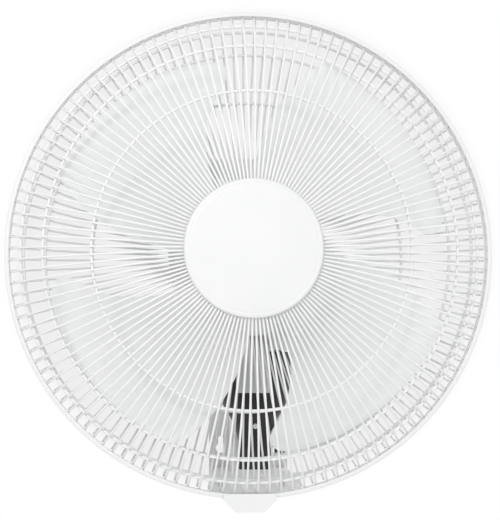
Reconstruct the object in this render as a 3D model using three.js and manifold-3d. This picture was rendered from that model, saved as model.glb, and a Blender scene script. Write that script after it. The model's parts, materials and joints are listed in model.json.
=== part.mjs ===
// Wall mounted fan: a caged four-blade head that swings and tilts on a black neck, held by a white
// wall bracket. Millimetres, +Z up. The wall is the plane y = 0 and the fan blows towards -Y.
// The origin is the middle of the wall plate's back face.
import * as THREE from 'three';
import { mergeVertices } from 'three/addons/utils/BufferGeometryUtils.js';
import Module from 'manifold-3d';

const wasm = await Module();
wasm.setup();

// ---------- driving dimensions ----------
const FIT_GAP = 0.3; // between pieces that rest on or in each other
const RUN_GAP = 0.4; // round a pin or shaft that turns in a hole

// where things stand
const HEAD_X = -10; // the shaft lies beside the neck's centre line
const SWIVEL_Y = -120; // upright axis that the head swings about
const TILT_Z = 18; // level axis that the neck tilts about
const SWING_HALF_ANGLE = 40; // degrees each way

// guard; depths in the head count back from the plane of its rim
const SPOKE_COUNT = 128;
const SPOKE_WIRE = 2;
const HOOP_WIRE = 2.8;
const RIM_FACETS = 64;
const HOOP_FACETS = 48;
const RIM_RADIUS = 230;
const RIM_WALL = 1.5;
const RIM_LIP = 4;
const RIM_LENGTH = 16;
const RIM_SHIFT = 3; // middle of the band behind the rim's plane
const RIM_WIRE_WIDTH = 1.8;
const RIM_WIRE_LENGTH = 5.8;
const RIM_WIRE_INNER = RIM_RADIUS - RIM_WALL - FIT_GAP - RIM_WIRE_WIDTH;
const WIRE_END_RADIUS = RIM_WIRE_INNER * Math.cos(Math.PI / RIM_FACETS) - FIT_GAP - SPOKE_WIRE / 2;
const GUARD_FRONT_DEPTH = 67.5; // spokes at the hub disc, in front of the rim
const GUARD_BACK_DEPTH = 51; // spokes at the motor, behind the rim
const DISC_RADIUS = 63.6;
const DISC_THICKNESS = 4;
const DISC_SEAT_RADIUS = DISC_RADIUS - 3.6;
const DISC_SEAT_WIDTH = 12;
const BACK_SEAT_RADIUS = 77;
const FRONT_HOOP_SHARES = { inner: 0.641, middle: 0.841, outer: 0.939 }; // of the rim radius
const BACK_HOOP_SHARES = { inner: 0.654, middle: 0.848, outer: 0.933 };

// clip at the foot of the guard
const CLIP_WIDTH = 50;
const CLIP_FOOT_WIDTH = 27;
const CLIP_RISE = 5; // above the rim's lowest point
const CLIP_DROP = 12; // and below it
const CLIP_WALL = 3.4;
const CLIP_SCREW_RADIUS = 2;

// motor, from its cover behind the guard
const COVER_RADIUS = 75.5;
const COVER_WALL = 2.5;
const COVER_CORNER = 4;
const COVER_FRONT = GUARD_BACK_DEPTH + SPOKE_WIRE / 2 + 0.5;
const COVER_SPLIT = COVER_FRONT + 15.5;
const COVER_CROWN_HEIGHT = COVER_RADIUS + 23.5; // raised top of the cover, above the shaft
const COVER_CROWN_HALF_WIDTH = 46;
const COVER_CROWN_DEPTH = 50;
const MOTOR_RADIUS = 47.5;
const MOTOR_WALL = 3;
const MOTOR_CORNER = 5;
const MOTOR_FRONT = COVER_FRONT + COVER_WALL + 3;
const MOTOR_BACK = MOTOR_FRONT + 64;
const MOTOR_SPLIT = MOTOR_FRONT + 33;
const STATOR_FRONT = MOTOR_FRONT + 16;
const STATOR_BACK = STATOR_FRONT + 34;
const STATOR_BORE_RADIUS = 28;
const ROTOR_AIR_GAP = 0.5;
const WINDING_DEPTH = 9;
const SHAFT_RADIUS = 4;
const BUSH_WALL = 4;
const BUSH_LENGTH = 12;
const BUSH_SEAT_RADIUS = SHAFT_RADIUS + RUN_GAP + BUSH_WALL + FIT_GAP;
const COLLAR_RADIUS = BUSH_SEAT_RADIUS + 5.6;
const COLLAR_FRONT = GUARD_BACK_DEPTH - 10;
const GUARD_NUT_RADIUS = COLLAR_RADIUS + 12.7;
const GUARD_NUT_LENGTH = 6;

// impeller
const BLADE_COUNT = 4;
const BLADE_TIP_RADIUS = RIM_RADIUS - 38;
const BLADE_THICKNESS = 2.4;
const HUB_RADIUS = 44;
const HUB_WALL = 3;
const HUB_CORNER = 7;
const HUB_BACK = COLLAR_FRONT - 17;
const HUB_FRONT = 33.5 - GUARD_FRONT_DEPTH;
const HUB_BOSS_RADIUS = SHAFT_RADIUS + 7;
const BLADE_BACK = HUB_BACK - 2; // leading edge
const BLADE_FRONT = HUB_FRONT + 10; // trailing edge
const SHAFT_FRONT = HUB_FRONT - 12;
const NUT_RADIUS = SHAFT_RADIUS + 13;
const NUT_LENGTH = 18;
const DRIVE_PIN_RADIUS = 1.5;
const DRIVE_PIN_LENGTH = 19;
const DRIVE_PIN_DEPTH = 5;

// gearbox: the worm wheel beside the worm drives the crank through a pinion
const WORM_RADIUS = SHAFT_RADIUS + 1;
const WORM_LENGTH = 15;
const WORM_TURNS = 4;
const WORM_WHEEL_RADIUS = 12;
const WORM_WHEEL_TEETH = 48;
const WORM_WHEEL_THICKNESS = 7;
const WORM_TOOTH = 1;
const PINION_TEETH = 9;
const CRANK_GEAR_TEETH = 27;
const CRANK_OFFSET = 6; // crank's axis behind the worm wheel's
const CRANK_GEAR_THICKNESS = 6;
const ARBOR_RADIUS = 3.4;
const BOX_WALL = 2.5;
const BOX_LID_THICKNESS = 3;
const BOX_HALF_HEIGHT = 22;
const BOX_FRONT = MOTOR_BACK + FIT_GAP;
const WHEEL_X = -(WORM_RADIUS + WORM_WHEEL_RADIUS + 0.5);
const WHEEL_DEPTH = BOX_FRONT + BOX_WALL + WORM_WHEEL_RADIUS + 1.2;
const CRANK_DEPTH = WHEEL_DEPTH + CRANK_OFFSET;
const GEAR_DISTANCE = Math.hypot(WHEEL_X, CRANK_OFFSET);
const GEAR_MODULE = (2 * GEAR_DISTANCE) / (PINION_TEETH + CRANK_GEAR_TEETH);
const GEAR_ANGLE = Math.atan2(CRANK_OFFSET, -WHEEL_X);
const CRANK_GEAR_RADIUS = (GEAR_MODULE * CRANK_GEAR_TEETH) / 2;
const CRANK_GEAR_BOTTOM = -BOX_HALF_HEIGHT + BOX_WALL + FIT_GAP;
const BOX_LEFT = WHEEL_X - WORM_WHEEL_RADIUS - BOX_WALL - 3;
const BOX_RIGHT = CRANK_GEAR_RADIUS + BOX_WALL + 4.5;
const BOX_BACK = CRANK_DEPTH + CRANK_GEAR_RADIUS + BOX_WALL + 4.5;
const COVER_BACK = BOX_BACK + 7;
const SHAFT_BACK = WHEEL_DEPTH + WORM_LENGTH / 2 + 4.5;
const CRANK_SHAFT_RADIUS = 4;
const CRANK_DISC_THICKNESS = 3.5;
const CRANK_PIN_RADIUS = 3;
const OSC_KNOB_RADIUS = 11;
const OSC_KNOB_HEIGHT = 20;
const OSC_STEM_RADIUS = 2;

// neck, from the tilt axis up
const COLUMN_HALF_WIDTH = 16.1;
const COLUMN_HALF_DEPTH = 15;
const COLUMN_BOTTOM = TILT_Z - 28.5;
const EAR_HALF_WIDTH = 9;
const EAR_RADIUS = 11.4;
const EAR_SLOT_TOP = TILT_Z + 18;
const PIN_POCKET_TOP = EAR_SLOT_TOP + 20;
const NECK_WEB = 3;
const TILT_BOLT_RADIUS = 4;
const TILT_KNOB_RADIUS = 13;
const TILT_KNOB_LENGTH = 14;
const TILT_KNOB_LOBES = 6;
const TILT_KNOB_LOBE_HEIGHT = 1.5;
const TILT_NUT_RADIUS = TILT_BOLT_RADIUS + 3;
const TILT_NUT_THICKNESS = 2.6;
const PLUG_Z = TILT_Z + 14.6;
const PLUG_RADIUS = 2.7;
const PLUG_BOSS_RADIUS = 5;
const PLUG_FACE = COLUMN_HALF_DEPTH + 7; // front of its boss, before the neck's centre line
const CUP_RADIUS = 38;
const CUP_WALL = 3.2;
const CUP_FOOT = TILT_Z - 2;
const CUP_WAIST = TILT_Z + 19;
const CUP_BELLY = TILT_Z + 35;
const CUP_FLOOR = TILT_Z + 66;
const CUP_TOP = TILT_Z + 88;
const NECK_BOSS_RADIUS = 9.4;

// swivel, between the neck and the head
const SWIVEL_PIN_RADIUS = 5;
const WASHER_THICKNESS = 1.6;
const LINK_THICKNESS = 2.6;
const LINK_HALF_WIDTH = 3.5;
const LINK_BOTTOM = CUP_TOP + 1.2;
const LINK_POST_X = CUP_RADIUS - 12; // from the swivel axis
const LINK_POST_Y = 10;
const LINK_POST_RADIUS = 3;
const BRACKET_RADIUS = 15;
const BRACKET_BOTTOM = LINK_BOTTOM + LINK_THICKNESS + 2.7;
const NECK_BOSS_TOP = BRACKET_BOTTOM - WASHER_THICKNESS - 2 * FIT_GAP;
const HEAD_Z = BRACKET_BOTTOM + COVER_RADIUS + 10;
const SWIVEL_DEPTH = BOX_FRONT - 17.3;
const RIM_Y = SWIVEL_Y - SWIVEL_DEPTH;
const APRON_WIDTH = 32.4;
const APRON_X = -4.2;
const APRON_HEIGHT = 47;
const APRON_THICKNESS = 3.2;
const APRON_FLANGE = 3;
const APRON_FRONT = COVER_FRONT + COVER_WALL;

// wall bracket
const PLATE_WIDTH = 84;
const PLATE_HEIGHT = 95;
const PLATE_THICKNESS = 2.5;
const PLATE_CORNER = 6;
const KEYHOLE_HEAD_RADIUS = 5.2;
const KEYHOLE_SLOT_RADIUS = 2.7;
const KEYHOLE_RISE = 10;
const KEYHOLE_X = PLATE_WIDTH / 2 - 12.4;
const KEYHOLE_Z = 4.4;
const BASE_WALL = 2.5;
const STEM_HALF_WIDTH = 21;
const STEM_TOP = TILT_Z + 23;
const STEM_FRONT = SWIVEL_Y + 36;
const FOOT_HALF_WIDTH = PLATE_WIDTH / 2 - 1;
const FOOT_TOP = COLUMN_BOTTOM - 5.5;
const FOOT_BOTTOM = 4 - PLATE_HEIGHT / 2;
const FOOT_FRONT = STEM_FRONT + 14;
const SWITCH_RADIUS = 9.5;
const SWITCH_LENGTH = 14;
const SPEED_KNOB_RADIUS = 10.5;
const SPEED_KNOB_LENGTH = 12;
const SPEED_SPINDLE_RADIUS = 3;
const SWITCH_Y = -36;
const SWITCH_Z = (FOOT_TOP + FOOT_BOTTOM) / 2;
const GLAND_RADIUS = 6;
const GLAND_STEP = 1.2;
const GLAND_LENGTH = 9;
const GLAND_Y = -38;
const CORD_BORE_RADIUS = 3.6;
const CAPACITOR_WIDTH = 28;
const CAPACITOR_DEPTH = 18;
const CAPACITOR_HEIGHT = 32;
const TERMINAL_SIZE = [20, 24, 12];

// ---------- finishes ----------
const finish = (color, roughness, metalness) => () =>
  new THREE.MeshStandardMaterial({ color, roughness, metalness });
const WHITE_WIRE = finish(0xf1f2f2, 0.45, 0);
const WHITE_PLASTIC = finish(0xf0f0ef, 0.4, 0);
const GREY_PLASTIC = finish(0xd9dada, 0.5, 0);
const BLADE_PLASTIC = finish(0xe6e7e7, 0.35, 0);
const BLACK_PLASTIC = finish(0x1d1e1f, 0.5, 0);
const STEEL = finish(0xa9abad, 0.35, 0.9);
const CAST_METAL = finish(0x8d9092, 0.55, 0.7);
const LAMINATION = finish(0x5d6165, 0.6, 0.6);
const COPPER = finish(0xb06b3c, 0.4, 0.8);
const BRONZE = finish(0xa57b45, 0.5, 0.8);
const NYLON = finish(0xe9e6da, 0.5, 0);

// ---------- geometry helpers ----------
const radians = (degrees) => THREE.MathUtils.degToRad(degrees);

// One indexed closed surface with its faces pointing out.
function closed(geometry) {
  const bare = new THREE.BufferGeometry();
  bare.setAttribute('position', geometry.getAttribute('position'));
  if (geometry.index) bare.setIndex(geometry.index);
  const merged = mergeVertices(bare, 1e-4);
  const source = merged.index.array;
  const at = merged.getAttribute('position');
  const kept = [];
  const a = new THREE.Vector3();
  const b = new THREE.Vector3();
  const c = new THREE.Vector3();
  let volume = 0;
  for (let i = 0; i < source.length; i += 3) {
    const [p, q, r] = [source[i], source[i + 1], source[i + 2]];
    if (p === q || q === r || r === p) continue;
    kept.push(p, q, r);
    a.fromBufferAttribute(at, p);
    b.fromBufferAttribute(at, q);
    c.fromBufferAttribute(at, r);
    volume += a.dot(b.cross(c));
  }
  if (volume < 0) kept.reverse();
  merged.setIndex(kept);
  return merged;
}

function solid(geometry) {
  const surface = closed(geometry);
  const vertProperties = new Float32Array(surface.getAttribute('position').array);
  const triVerts = new Uint32Array(surface.index.array);
  return new wasm.Manifold(new wasm.Mesh({ numProp: 3, vertProperties, triVerts }));
}

function surfaceOf(manifold) {
  const mesh = manifold.getMesh();
  const geometry = new THREE.BufferGeometry();
  geometry.setAttribute('position', new THREE.BufferAttribute(mesh.vertProperties, 3));
  geometry.setIndex(new THREE.BufferAttribute(mesh.triVerts, 1));
  return geometry;
}

const joined = (first, ...rest) => rest.reduce((sum, g) => sum.add(solid(g)), solid(first));
const cut = (body, ...tools) => tools.reduce((left, g) => left.subtract(solid(g)), body);

function piece(name, shape, material) {
  const geometry = shape.isBufferGeometry ? closed(shape) : surfaceOf(shape);
  const flat = geometry.toNonIndexed();
  flat.computeVertexNormals();
  const mesh = new THREE.Mesh(flat, material());
  mesh.name = name;
  return mesh;
}

// A profile of [radius, height] points turned about Y; off the axis it closes on itself.
function turned(profile, segments = 24) {
  const points = profile.map(([r, h]) => new THREE.Vector2(r, h));
  const onAxis = profile[0][0] === 0 && profile[profile.length - 1][0] === 0;
  if (!onAxis) points.push(points[0].clone());
  return closed(new THREE.LatheGeometry(points, segments));
}

// A round bar or, with an inner radius, a pipe about Y from one height to another.
function bar(radius, from, to, inner = 0, segments = 24) {
  return turned([[inner, from], [radius, from], [radius, to], [inner, to]], segments);
}

const upright = (geometry) => geometry.rotateX(Math.PI / 2); // Y becomes Z
const sideways = (geometry) => geometry.rotateZ(-Math.PI / 2); // Y becomes X

function block(x, y, z) {
  const geometry = new THREE.BoxGeometry(x[1] - x[0], y[1] - y[0], z[1] - z[0]);
  return geometry.translate((x[0] + x[1]) / 2, (y[0] + y[1]) / 2, (z[0] + z[1]) / 2);
}

// A front view outline (x, z) given depth along Y, from `front` back to `back`.
function frontPlate(shape, front, back, curveSegments = 5) {
  const geometry = new THREE.ExtrudeGeometry(shape, {
    depth: back - front,
    bevelEnabled: false,
    curveSegments,
  });
  return geometry.rotateX(Math.PI / 2).translate(0, back, 0);
}

// A plan outline (x, y) given height along Z.
function planPlate(shape, bottom, top) {
  const geometry = new THREE.ExtrudeGeometry(shape, {
    depth: top - bottom,
    bevelEnabled: false,
  });
  return geometry.translate(0, 0, bottom);
}

function outline(points) {
  return new THREE.Shape(points.map(([x, y]) => new THREE.Vector2(x, y)));
}

// A gear's outline: straight-sided teeth about the pitch circle, the first centred on +X.
function gearOutline(teeth, pitchRadius) {
  const pitch = (2 * Math.PI) / teeth;
  const module = (2 * pitchRadius) / teeth;
  const tip = pitchRadius + 0.75 * module;
  const root = pitchRadius - 1.1 * module;
  const corners = [[-0.3, root], [-0.12, tip], [0.12, tip], [0.3, root]];
  const points = [];
  for (let i = 0; i < teeth; i++) {
    for (const [share, radius] of corners) {
      const angle = (i + share) * pitch;
      points.push([radius * Math.cos(angle), radius * Math.sin(angle)]);
    }
  }
  return outline(points);
}

// A worm wheel's outline: fine pointed teeth.
function fineTeethOutline(teeth, tip, root) {
  const points = [];
  for (let i = 0; i < 2 * teeth; i++) {
    const radius = i % 2 === 0 ? tip : root;
    const angle = (i * Math.PI) / teeth;
    points.push([radius * Math.cos(angle), radius * Math.sin(angle)]);
  }
  return outline(points);
}

// ---------- guard ----------
// A wire's path out of its seat as [radius, depth], from shares of the way out and of the depth.
const wirePath = (seatRadius, seatDepth, shares) =>
  shares.map(([out, deep]) => [
    seatRadius + (WIRE_END_RADIUS - seatRadius) * out,
    seatDepth * deep,
  ]);
const FRONT_PATH = wirePath(DISC_SEAT_RADIUS, -GUARD_FRONT_DEPTH, [
  [0, 1],
  [0.394, 0.859],
  [0.728, 0.607],
  [0.91, 0.318],
  [1, 0.018],
]);
const BACK_PATH = wirePath(BACK_SEAT_RADIUS, GUARD_BACK_DEPTH, [
  [0, 1],
  [0.616, 0.843],
  [1, 0.133],
]);

// Radial wires of three-sided section that grow out of the edge of a flat seat ring.
function spokeCage(path, seatInner) {
  const half = SPOKE_WIRE / 2;
  const innerCount = SPOKE_COUNT / 4;
  const positions = [];
  const vertex = (radius, depth, angle, aside = 0) => {
    const x = radius * Math.cos(angle) - aside * Math.sin(angle);
    const z = radius * Math.sin(angle) + aside * Math.cos(angle);
    return positions.push(x, depth, z) / 3 - 1;
  };
  const faces = [];
  const face = (...corners) => {
    for (let k = 2; k < corners.length; k++) faces.push(corners[0], corners[k - 1], corners[k]);
  };
  const seatDepth = path[0][1];
  const spokes = [];
  for (let i = 0; i < SPOKE_COUNT; i++) {
    const angle = ((i + 0.5) / SPOKE_COUNT) * 2 * Math.PI;
    const sections = path.map(([radius, depth], k) => {
      const before = path[Math.max(k - 1, 0)];
      const after = path[Math.min(k + 1, path.length - 1)];
      const run = k === 0 ? [1, 0] : [after[0] - before[0], after[1] - before[1]];
      const length = Math.hypot(...run);
      const normal = [(-half * run[1]) / length, (half * run[0]) / length];
      const backRadius = radius + normal[0];
      const backDepth = depth + normal[1];
      return [
        vertex(backRadius, backDepth, angle, -half),
        vertex(backRadius, backDepth, angle, half),
        vertex(radius - normal[0], depth - normal[1], angle),
      ];
    });
    spokes.push(sections);
    for (let k = 0; k + 1 < sections.length; k++) {
      for (let side = 0; side < 3; side++) {
        const next = (side + 1) % 3;
        const [here, there] = [sections[k], sections[k + 1]];
        face(here[side], here[next], there[next], there[side]);
      }
    }
    face(...sections[sections.length - 1]);
  }
  const innerFront = [];
  const innerBack = [];
  for (let j = 0; j < innerCount; j++) {
    const angle = ((4 * j + 0.5) / SPOKE_COUNT) * 2 * Math.PI;
    innerFront.push(vertex(seatInner, seatDepth - half, angle));
    innerBack.push(vertex(seatInner, seatDepth + half, angle));
  }
  const frontEdge = spokes.map((s) => s[0][2]);
  const backEdge = spokes.flatMap((s) => [s[0][0], s[0][1]]);
  spokes.forEach(([[, b, c]], i) => {
    const next = spokes[(i + 1) % SPOKE_COUNT][0];
    face(c, b, next[0], next[2]);
  });
  // A flat ring face between the many outer and the few inner corners.
  const annulus = (outer, inner, turn) => {
    const share = outer.length / inner.length;
    inner.forEach((corner, j) => {
      const nextCorner = inner[(j + 1) % inner.length];
      const middle = outer[(share * j + share / 2) % outer.length];
      for (let k = 0; k < share; k++) {
        const p = outer[(share * j + k) % outer.length];
        const q = outer[(share * j + k + 1) % outer.length];
        face(...turn([p, q, k < share / 2 ? corner : nextCorner]));
      }
      face(...turn([middle, nextCorner, corner]));
    });
  };
  annulus(frontEdge, innerFront, (corners) => corners);
  annulus(backEdge, innerBack, (corners) => corners.reverse());
  innerFront.forEach((corner, j) => {
    const next = (j + 1) % innerCount;
    face(corner, innerFront[next], innerBack[next], innerBack[j]);
  });
  const geometry = new THREE.BufferGeometry();
  geometry.setAttribute('position', new THREE.Float32BufferAttribute(positions, 3));
  geometry.setIndex(faces);
  return geometry;
}

// A hoop of wire welded to the inside of the spokes; `inward` is +1 for the front cage.
function hoop(path, share, inward) {
  const radius = share * RIM_RADIUS;
  const k = path.findIndex(([r]) => r >= radius);
  const [from, to] = [path[k - 1], path[k]];
  const run = [to[0] - from[0], to[1] - from[1]];
  const length = Math.hypot(...run);
  const depth = from[1] + (run[1] * (radius - from[0])) / run[0];
  const offset = (inward * (SPOKE_WIRE / 2 + HOOP_WIRE / 4 + RUN_GAP)) / length;
  const centre = [radius - run[1] * offset, depth + run[0] * offset];
  const spread = 1 / Math.cos(Math.PI / HOOP_FACETS / Math.SQRT2);
  const facing = Math.atan2(run[1], run[0]) + (inward * Math.PI) / 2;
  const section = [];
  for (let side = 0; side < 3; side++) {
    const angle = facing + (side * 2 * Math.PI) / 3;
    section.push([
      centre[0] * spread + (HOOP_WIRE / 2) * Math.cos(angle),
      centre[1] + (HOOP_WIRE / 2) * Math.sin(angle),
    ]);
  }
  return turned(section, HOOP_FACETS);
}

function rimBand() {
  const outer = RIM_RADIUS;
  const web = RIM_RADIUS - RIM_WALL;
  const lip = RIM_RADIUS - RIM_LIP;
  const front = RIM_SHIFT - RIM_LENGTH / 2;
  const back = RIM_SHIFT + RIM_LENGTH / 2;
  return turned(
    [
      [lip, front],
      [outer, front],
      [outer, back],
      [lip, back],
      [lip, back - RIM_WALL],
      [web, back - RIM_WALL],
      [web, front + RIM_WALL],
      [lip, front + RIM_WALL],
    ],
    RIM_FACETS,
  );
}

// `side` is -1 for the front guard's rim wire and +1 for the back guard's.
function rimWire(side) {
  const near = RIM_SHIFT + side * FIT_GAP;
  const far = near + side * RIM_WIRE_LENGTH;
  const [from, to] = [Math.min(near, far), Math.max(near, far)];
  return bar(RIM_WIRE_INNER + RIM_WIRE_WIDTH, from, to, RIM_WIRE_INNER, RIM_FACETS);
}

function hubDisc() {
  const back = -GUARD_FRONT_DEPTH - SPOKE_WIRE / 2 - FIT_GAP;
  const front = back - DISC_THICKNESS;
  const edge = DISC_RADIUS;
  return turned(
    [
      [0, back - 1.6],
      [DISC_SEAT_RADIUS - DISC_SEAT_WIDTH - 2, back - 1.6],
      [DISC_SEAT_RADIUS - DISC_SEAT_WIDTH, back],
      [edge - 1, back],
      [edge, back - 1.2],
      [edge - 0.4, front + 1],
      [edge - 2.2, front],
      [0, front - 0.6],
    ],
    HOOP_FACETS,
  );
}

function discRetainer() {
  const front = -GUARD_FRONT_DEPTH + SPOKE_WIRE / 2 + FIT_GAP;
  return bar(DISC_SEAT_RADIUS - 2, front, front + 2, DISC_SEAT_RADIUS - DISC_SEAT_WIDTH - 8, 32);
}

// Half of the clip that closes the guard; `side` is -1 for the front half and +1 for the back.
function guardClip(side) {
  const band = RIM_LENGTH / 2 + FIT_GAP;
  const reach = RIM_LENGTH / 2 + CLIP_WALL;
  const [front, back] =
    side < 0
      ? [RIM_SHIFT - reach, RIM_SHIFT - FIT_GAP / 2]
      : [RIM_SHIFT + FIT_GAP / 2, RIM_SHIFT + reach];
  const half = CLIP_WIDTH / 2;
  const footHalf = CLIP_FOOT_WIDTH / 2;
  const top = CLIP_RISE - RIM_RADIUS;
  const bottom = -CLIP_DROP - RIM_RADIUS;
  const shoulder = bottom + half - footHalf;
  const face = outline([
    [-half, top],
    [-half, shoulder],
    [-footHalf, bottom],
    [footHalf, bottom],
    [half, shoulder],
    [half, top],
  ]);
  const groove = bar(
    RIM_RADIUS + FIT_GAP,
    RIM_SHIFT - band,
    RIM_SHIFT + band,
    RIM_RADIUS - 2 * CLIP_WIDTH / 3,
    RIM_FACETS,
  );
  const screwHole = bar(CLIP_SCREW_RADIUS + RUN_GAP, front - 1, back + 1, 0, 16);
  screwHole.translate(0, 0, bottom + CLIP_DROP / 2);
  return cut(solid(frontPlate(face, front, back)), groove, screwHole);
}

function clipScrew() {
  const back = RIM_SHIFT + RIM_LENGTH / 2 + CLIP_WALL + FIT_GAP;
  const tip = RIM_SHIFT - RIM_LENGTH / 2;
  const profile = [
    [0, tip],
    [CLIP_SCREW_RADIUS, tip],
    [CLIP_SCREW_RADIUS, back],
    [2 * CLIP_SCREW_RADIUS, back],
    [2 * CLIP_SCREW_RADIUS, back + 1.6],
    [0, back + 2.4],
  ];
  return turned(profile, 16).translate(0, 0, -RIM_RADIUS - CLIP_DROP / 2);
}

function buildGuard() {
  const guard = new THREE.Group();
  const frontSpokes = spokeCage(FRONT_PATH, DISC_SEAT_RADIUS - DISC_SEAT_WIDTH);
  guard.add(piece('front_guard_spokes', frontSpokes, WHITE_WIRE));
  for (const [place, share] of Object.entries(FRONT_HOOP_SHARES)) {
    guard.add(piece(`front_guard_ring_${place}`, hoop(FRONT_PATH, share, 1), WHITE_WIRE));
  }
  guard.add(piece('front_rim_wire', rimWire(-1), WHITE_WIRE));
  guard.add(piece('hub_disc', hubDisc(), WHITE_PLASTIC));
  guard.add(piece('hub_disc_retainer', discRetainer(), STEEL));
  guard.add(piece('rear_guard_spokes', spokeCage(BACK_PATH, COLLAR_RADIUS + RUN_GAP), WHITE_WIRE));
  for (const [place, share] of Object.entries(BACK_HOOP_SHARES)) {
    guard.add(piece(`rear_guard_ring_${place}`, hoop(BACK_PATH, share, -1), WHITE_WIRE));
  }
  guard.add(piece('rear_rim_wire', rimWire(1), WHITE_WIRE));
  guard.add(piece('rim_band', rimBand(), WHITE_PLASTIC));
  guard.add(piece('guard_clip_front', guardClip(-1), WHITE_PLASTIC));
  guard.add(piece('guard_clip_rear', guardClip(1), WHITE_PLASTIC));
  guard.add(piece('guard_clip_screw', clipScrew(), STEEL));
  const nutBack = GUARD_BACK_DEPTH - SPOKE_WIRE / 2 - FIT_GAP;
  const nutFront = nutBack - GUARD_NUT_LENGTH;
  const nut = bar(GUARD_NUT_RADIUS, nutFront, nutBack, COLLAR_RADIUS + FIT_GAP);
  guard.add(piece('guard_lock_nut', nut, WHITE_PLASTIC));
  return guard;
}

// ---------- impeller ----------
// Edges of a blade as [share of the way from the hub to the tip, angle in degrees].
const LEADING_EDGE = [
  [0, 36], [0.15, 29], [0.3, 25], [0.36, 23.4], [0.49, 20.9], [0.62, 17.4],
  [0.75, 12.8], [0.87, 8.5], [0.94, 8.4], [0.98, 9.8], [1, 13],
];
const TRAILING_EDGE = [
  [0, 94], [0.15, 91], [0.28, 87.4], [0.47, 83.6], [0.59, 80.8],
  [0.71, 77.8], [0.84, 74], [0.9, 72.4], [0.96, 70.2], [1, 68.2],
];
const BLADE_STATIONS = [0, 0.15, 0.3, 0.47, 0.62, 0.75, 0.87, 0.96, 1];
const CHORD_STEPS = 5;

function edgeAngle(edge, share) {
  const k = Math.max(1, edge.findIndex(([s]) => s >= share));
  const [[s0, a0], [s1, a1]] = [edge[k - 1], edge[k]];
  return a0 + ((a1 - a0) * (share - s0)) / (s1 - s0);
}

// One blade as a closed sheet: a leading edge set back and a trailing edge near the front.
function blade() {
  const root = HUB_RADIUS - HUB_WALL + 1;
  const rows = BLADE_STATIONS.map((share) => {
    const radius = root + (BLADE_TIP_RADIUS - root) * share;
    const first = edgeAngle(LEADING_EDGE, share);
    const last = edgeAngle(TRAILING_EDGE, share);
    const row = [];
    for (let j = 0; j <= CHORD_STEPS; j++) {
      const s = j / CHORD_STEPS;
      const angle = radians(first + (last - first) * s);
      const depth = BLADE_BACK + (BLADE_FRONT - BLADE_BACK) * (0.72 * s + 0.28 * s * s);
      const half = (BLADE_THICKNESS / 2) * (0.35 + 0.65 * Math.sin(Math.PI * s));
      row.push([radius * Math.cos(angle), depth, radius * Math.sin(angle), half]);
    }
    return row;
  });
  const positions = [];
  const sheets = [-1, 1].map((side) =>
    rows.map((row) => row.map(([x, y, z, half]) => positions.push(x, y + side * half, z) / 3 - 1)),
  );
  const faces = [];
  const quad = (a, b, c, d) => faces.push(a, b, c, a, c, d);
  const [front, back] = sheets;
  const last = rows.length - 1;
  for (let i = 0; i < last; i++) {
    for (let j = 0; j < CHORD_STEPS; j++) {
      quad(front[i][j], front[i + 1][j], front[i + 1][j + 1], front[i][j + 1]);
      quad(back[i][j], back[i][j + 1], back[i + 1][j + 1], back[i + 1][j]);
    }
    quad(front[i][0], back[i][0], back[i + 1][0], front[i + 1][0]);
    quad(front[i + 1][CHORD_STEPS], back[i + 1][CHORD_STEPS], back[i][CHORD_STEPS], front[i][CHORD_STEPS]);
  }
  for (let j = 0; j < CHORD_STEPS; j++) {
    quad(front[0][j + 1], back[0][j + 1], back[0][j], front[0][j]);
    quad(front[last][j], back[last][j], back[last][j + 1], front[last][j + 1]);
  }
  const geometry = new THREE.BufferGeometry();
  geometry.setAttribute('position', new THREE.Float32BufferAttribute(positions, 3));
  geometry.setIndex(faces);
  return geometry;
}

function impeller() {
  const cup = turned(
    [
      [0, HUB_FRONT],
      [HUB_RADIUS - HUB_CORNER, HUB_FRONT],
      [HUB_RADIUS, HUB_FRONT + HUB_CORNER],
      [HUB_RADIUS, HUB_BACK],
      [HUB_RADIUS - HUB_WALL, HUB_BACK],
      [HUB_RADIUS - HUB_WALL, HUB_FRONT + HUB_CORNER + 1],
      [HUB_RADIUS - HUB_CORNER - 1, HUB_FRONT + HUB_WALL],
      [HUB_BOSS_RADIUS, HUB_FRONT + HUB_WALL],
      [HUB_BOSS_RADIUS, DRIVE_PIN_DEPTH + 4],
      [0, DRIVE_PIN_DEPTH + 4],
    ],
    40,
  );
  let body = solid(cup);
  for (let k = 0; k < BLADE_COUNT; k++) {
    const turn = new THREE.Matrix4().makeRotationY((-2 * Math.PI * k) / BLADE_COUNT);
    body = body.add(solid(blade().applyMatrix4(turn)));
  }
  const slot = DRIVE_PIN_RADIUS + RUN_GAP;
  const reach = HUB_BOSS_RADIUS + 4;
  return cut(
    body,
    bar(SHAFT_RADIUS + FIT_GAP, HUB_FRONT - 1, DRIVE_PIN_DEPTH + 5),
    block([-reach, reach], [DRIVE_PIN_DEPTH - slot, DRIVE_PIN_DEPTH + 5], [-slot, slot]),
  );
}

function bladeNut() {
  const back = HUB_FRONT - FIT_GAP;
  const front = back - NUT_LENGTH;
  const bore = SHAFT_RADIUS + FIT_GAP;
  const body = turned(
    [
      [0, front],
      [NUT_RADIUS - 5, front],
      [NUT_RADIUS - 1, front + 3],
      [NUT_RADIUS, back],
      [0, back],
    ],
    24,
  );
  return cut(solid(body), bar(bore, SHAFT_FRONT - FIT_GAP, back + 1));
}

function motorShaft() {
  const hole = sideways(bar(DRIVE_PIN_RADIUS + FIT_GAP, -SHAFT_RADIUS - 1, SHAFT_RADIUS + 1, 0, 12));
  const rod = bar(SHAFT_RADIUS, SHAFT_FRONT, SHAFT_BACK);
  return cut(solid(rod), hole.translate(0, DRIVE_PIN_DEPTH, 0));
}

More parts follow.
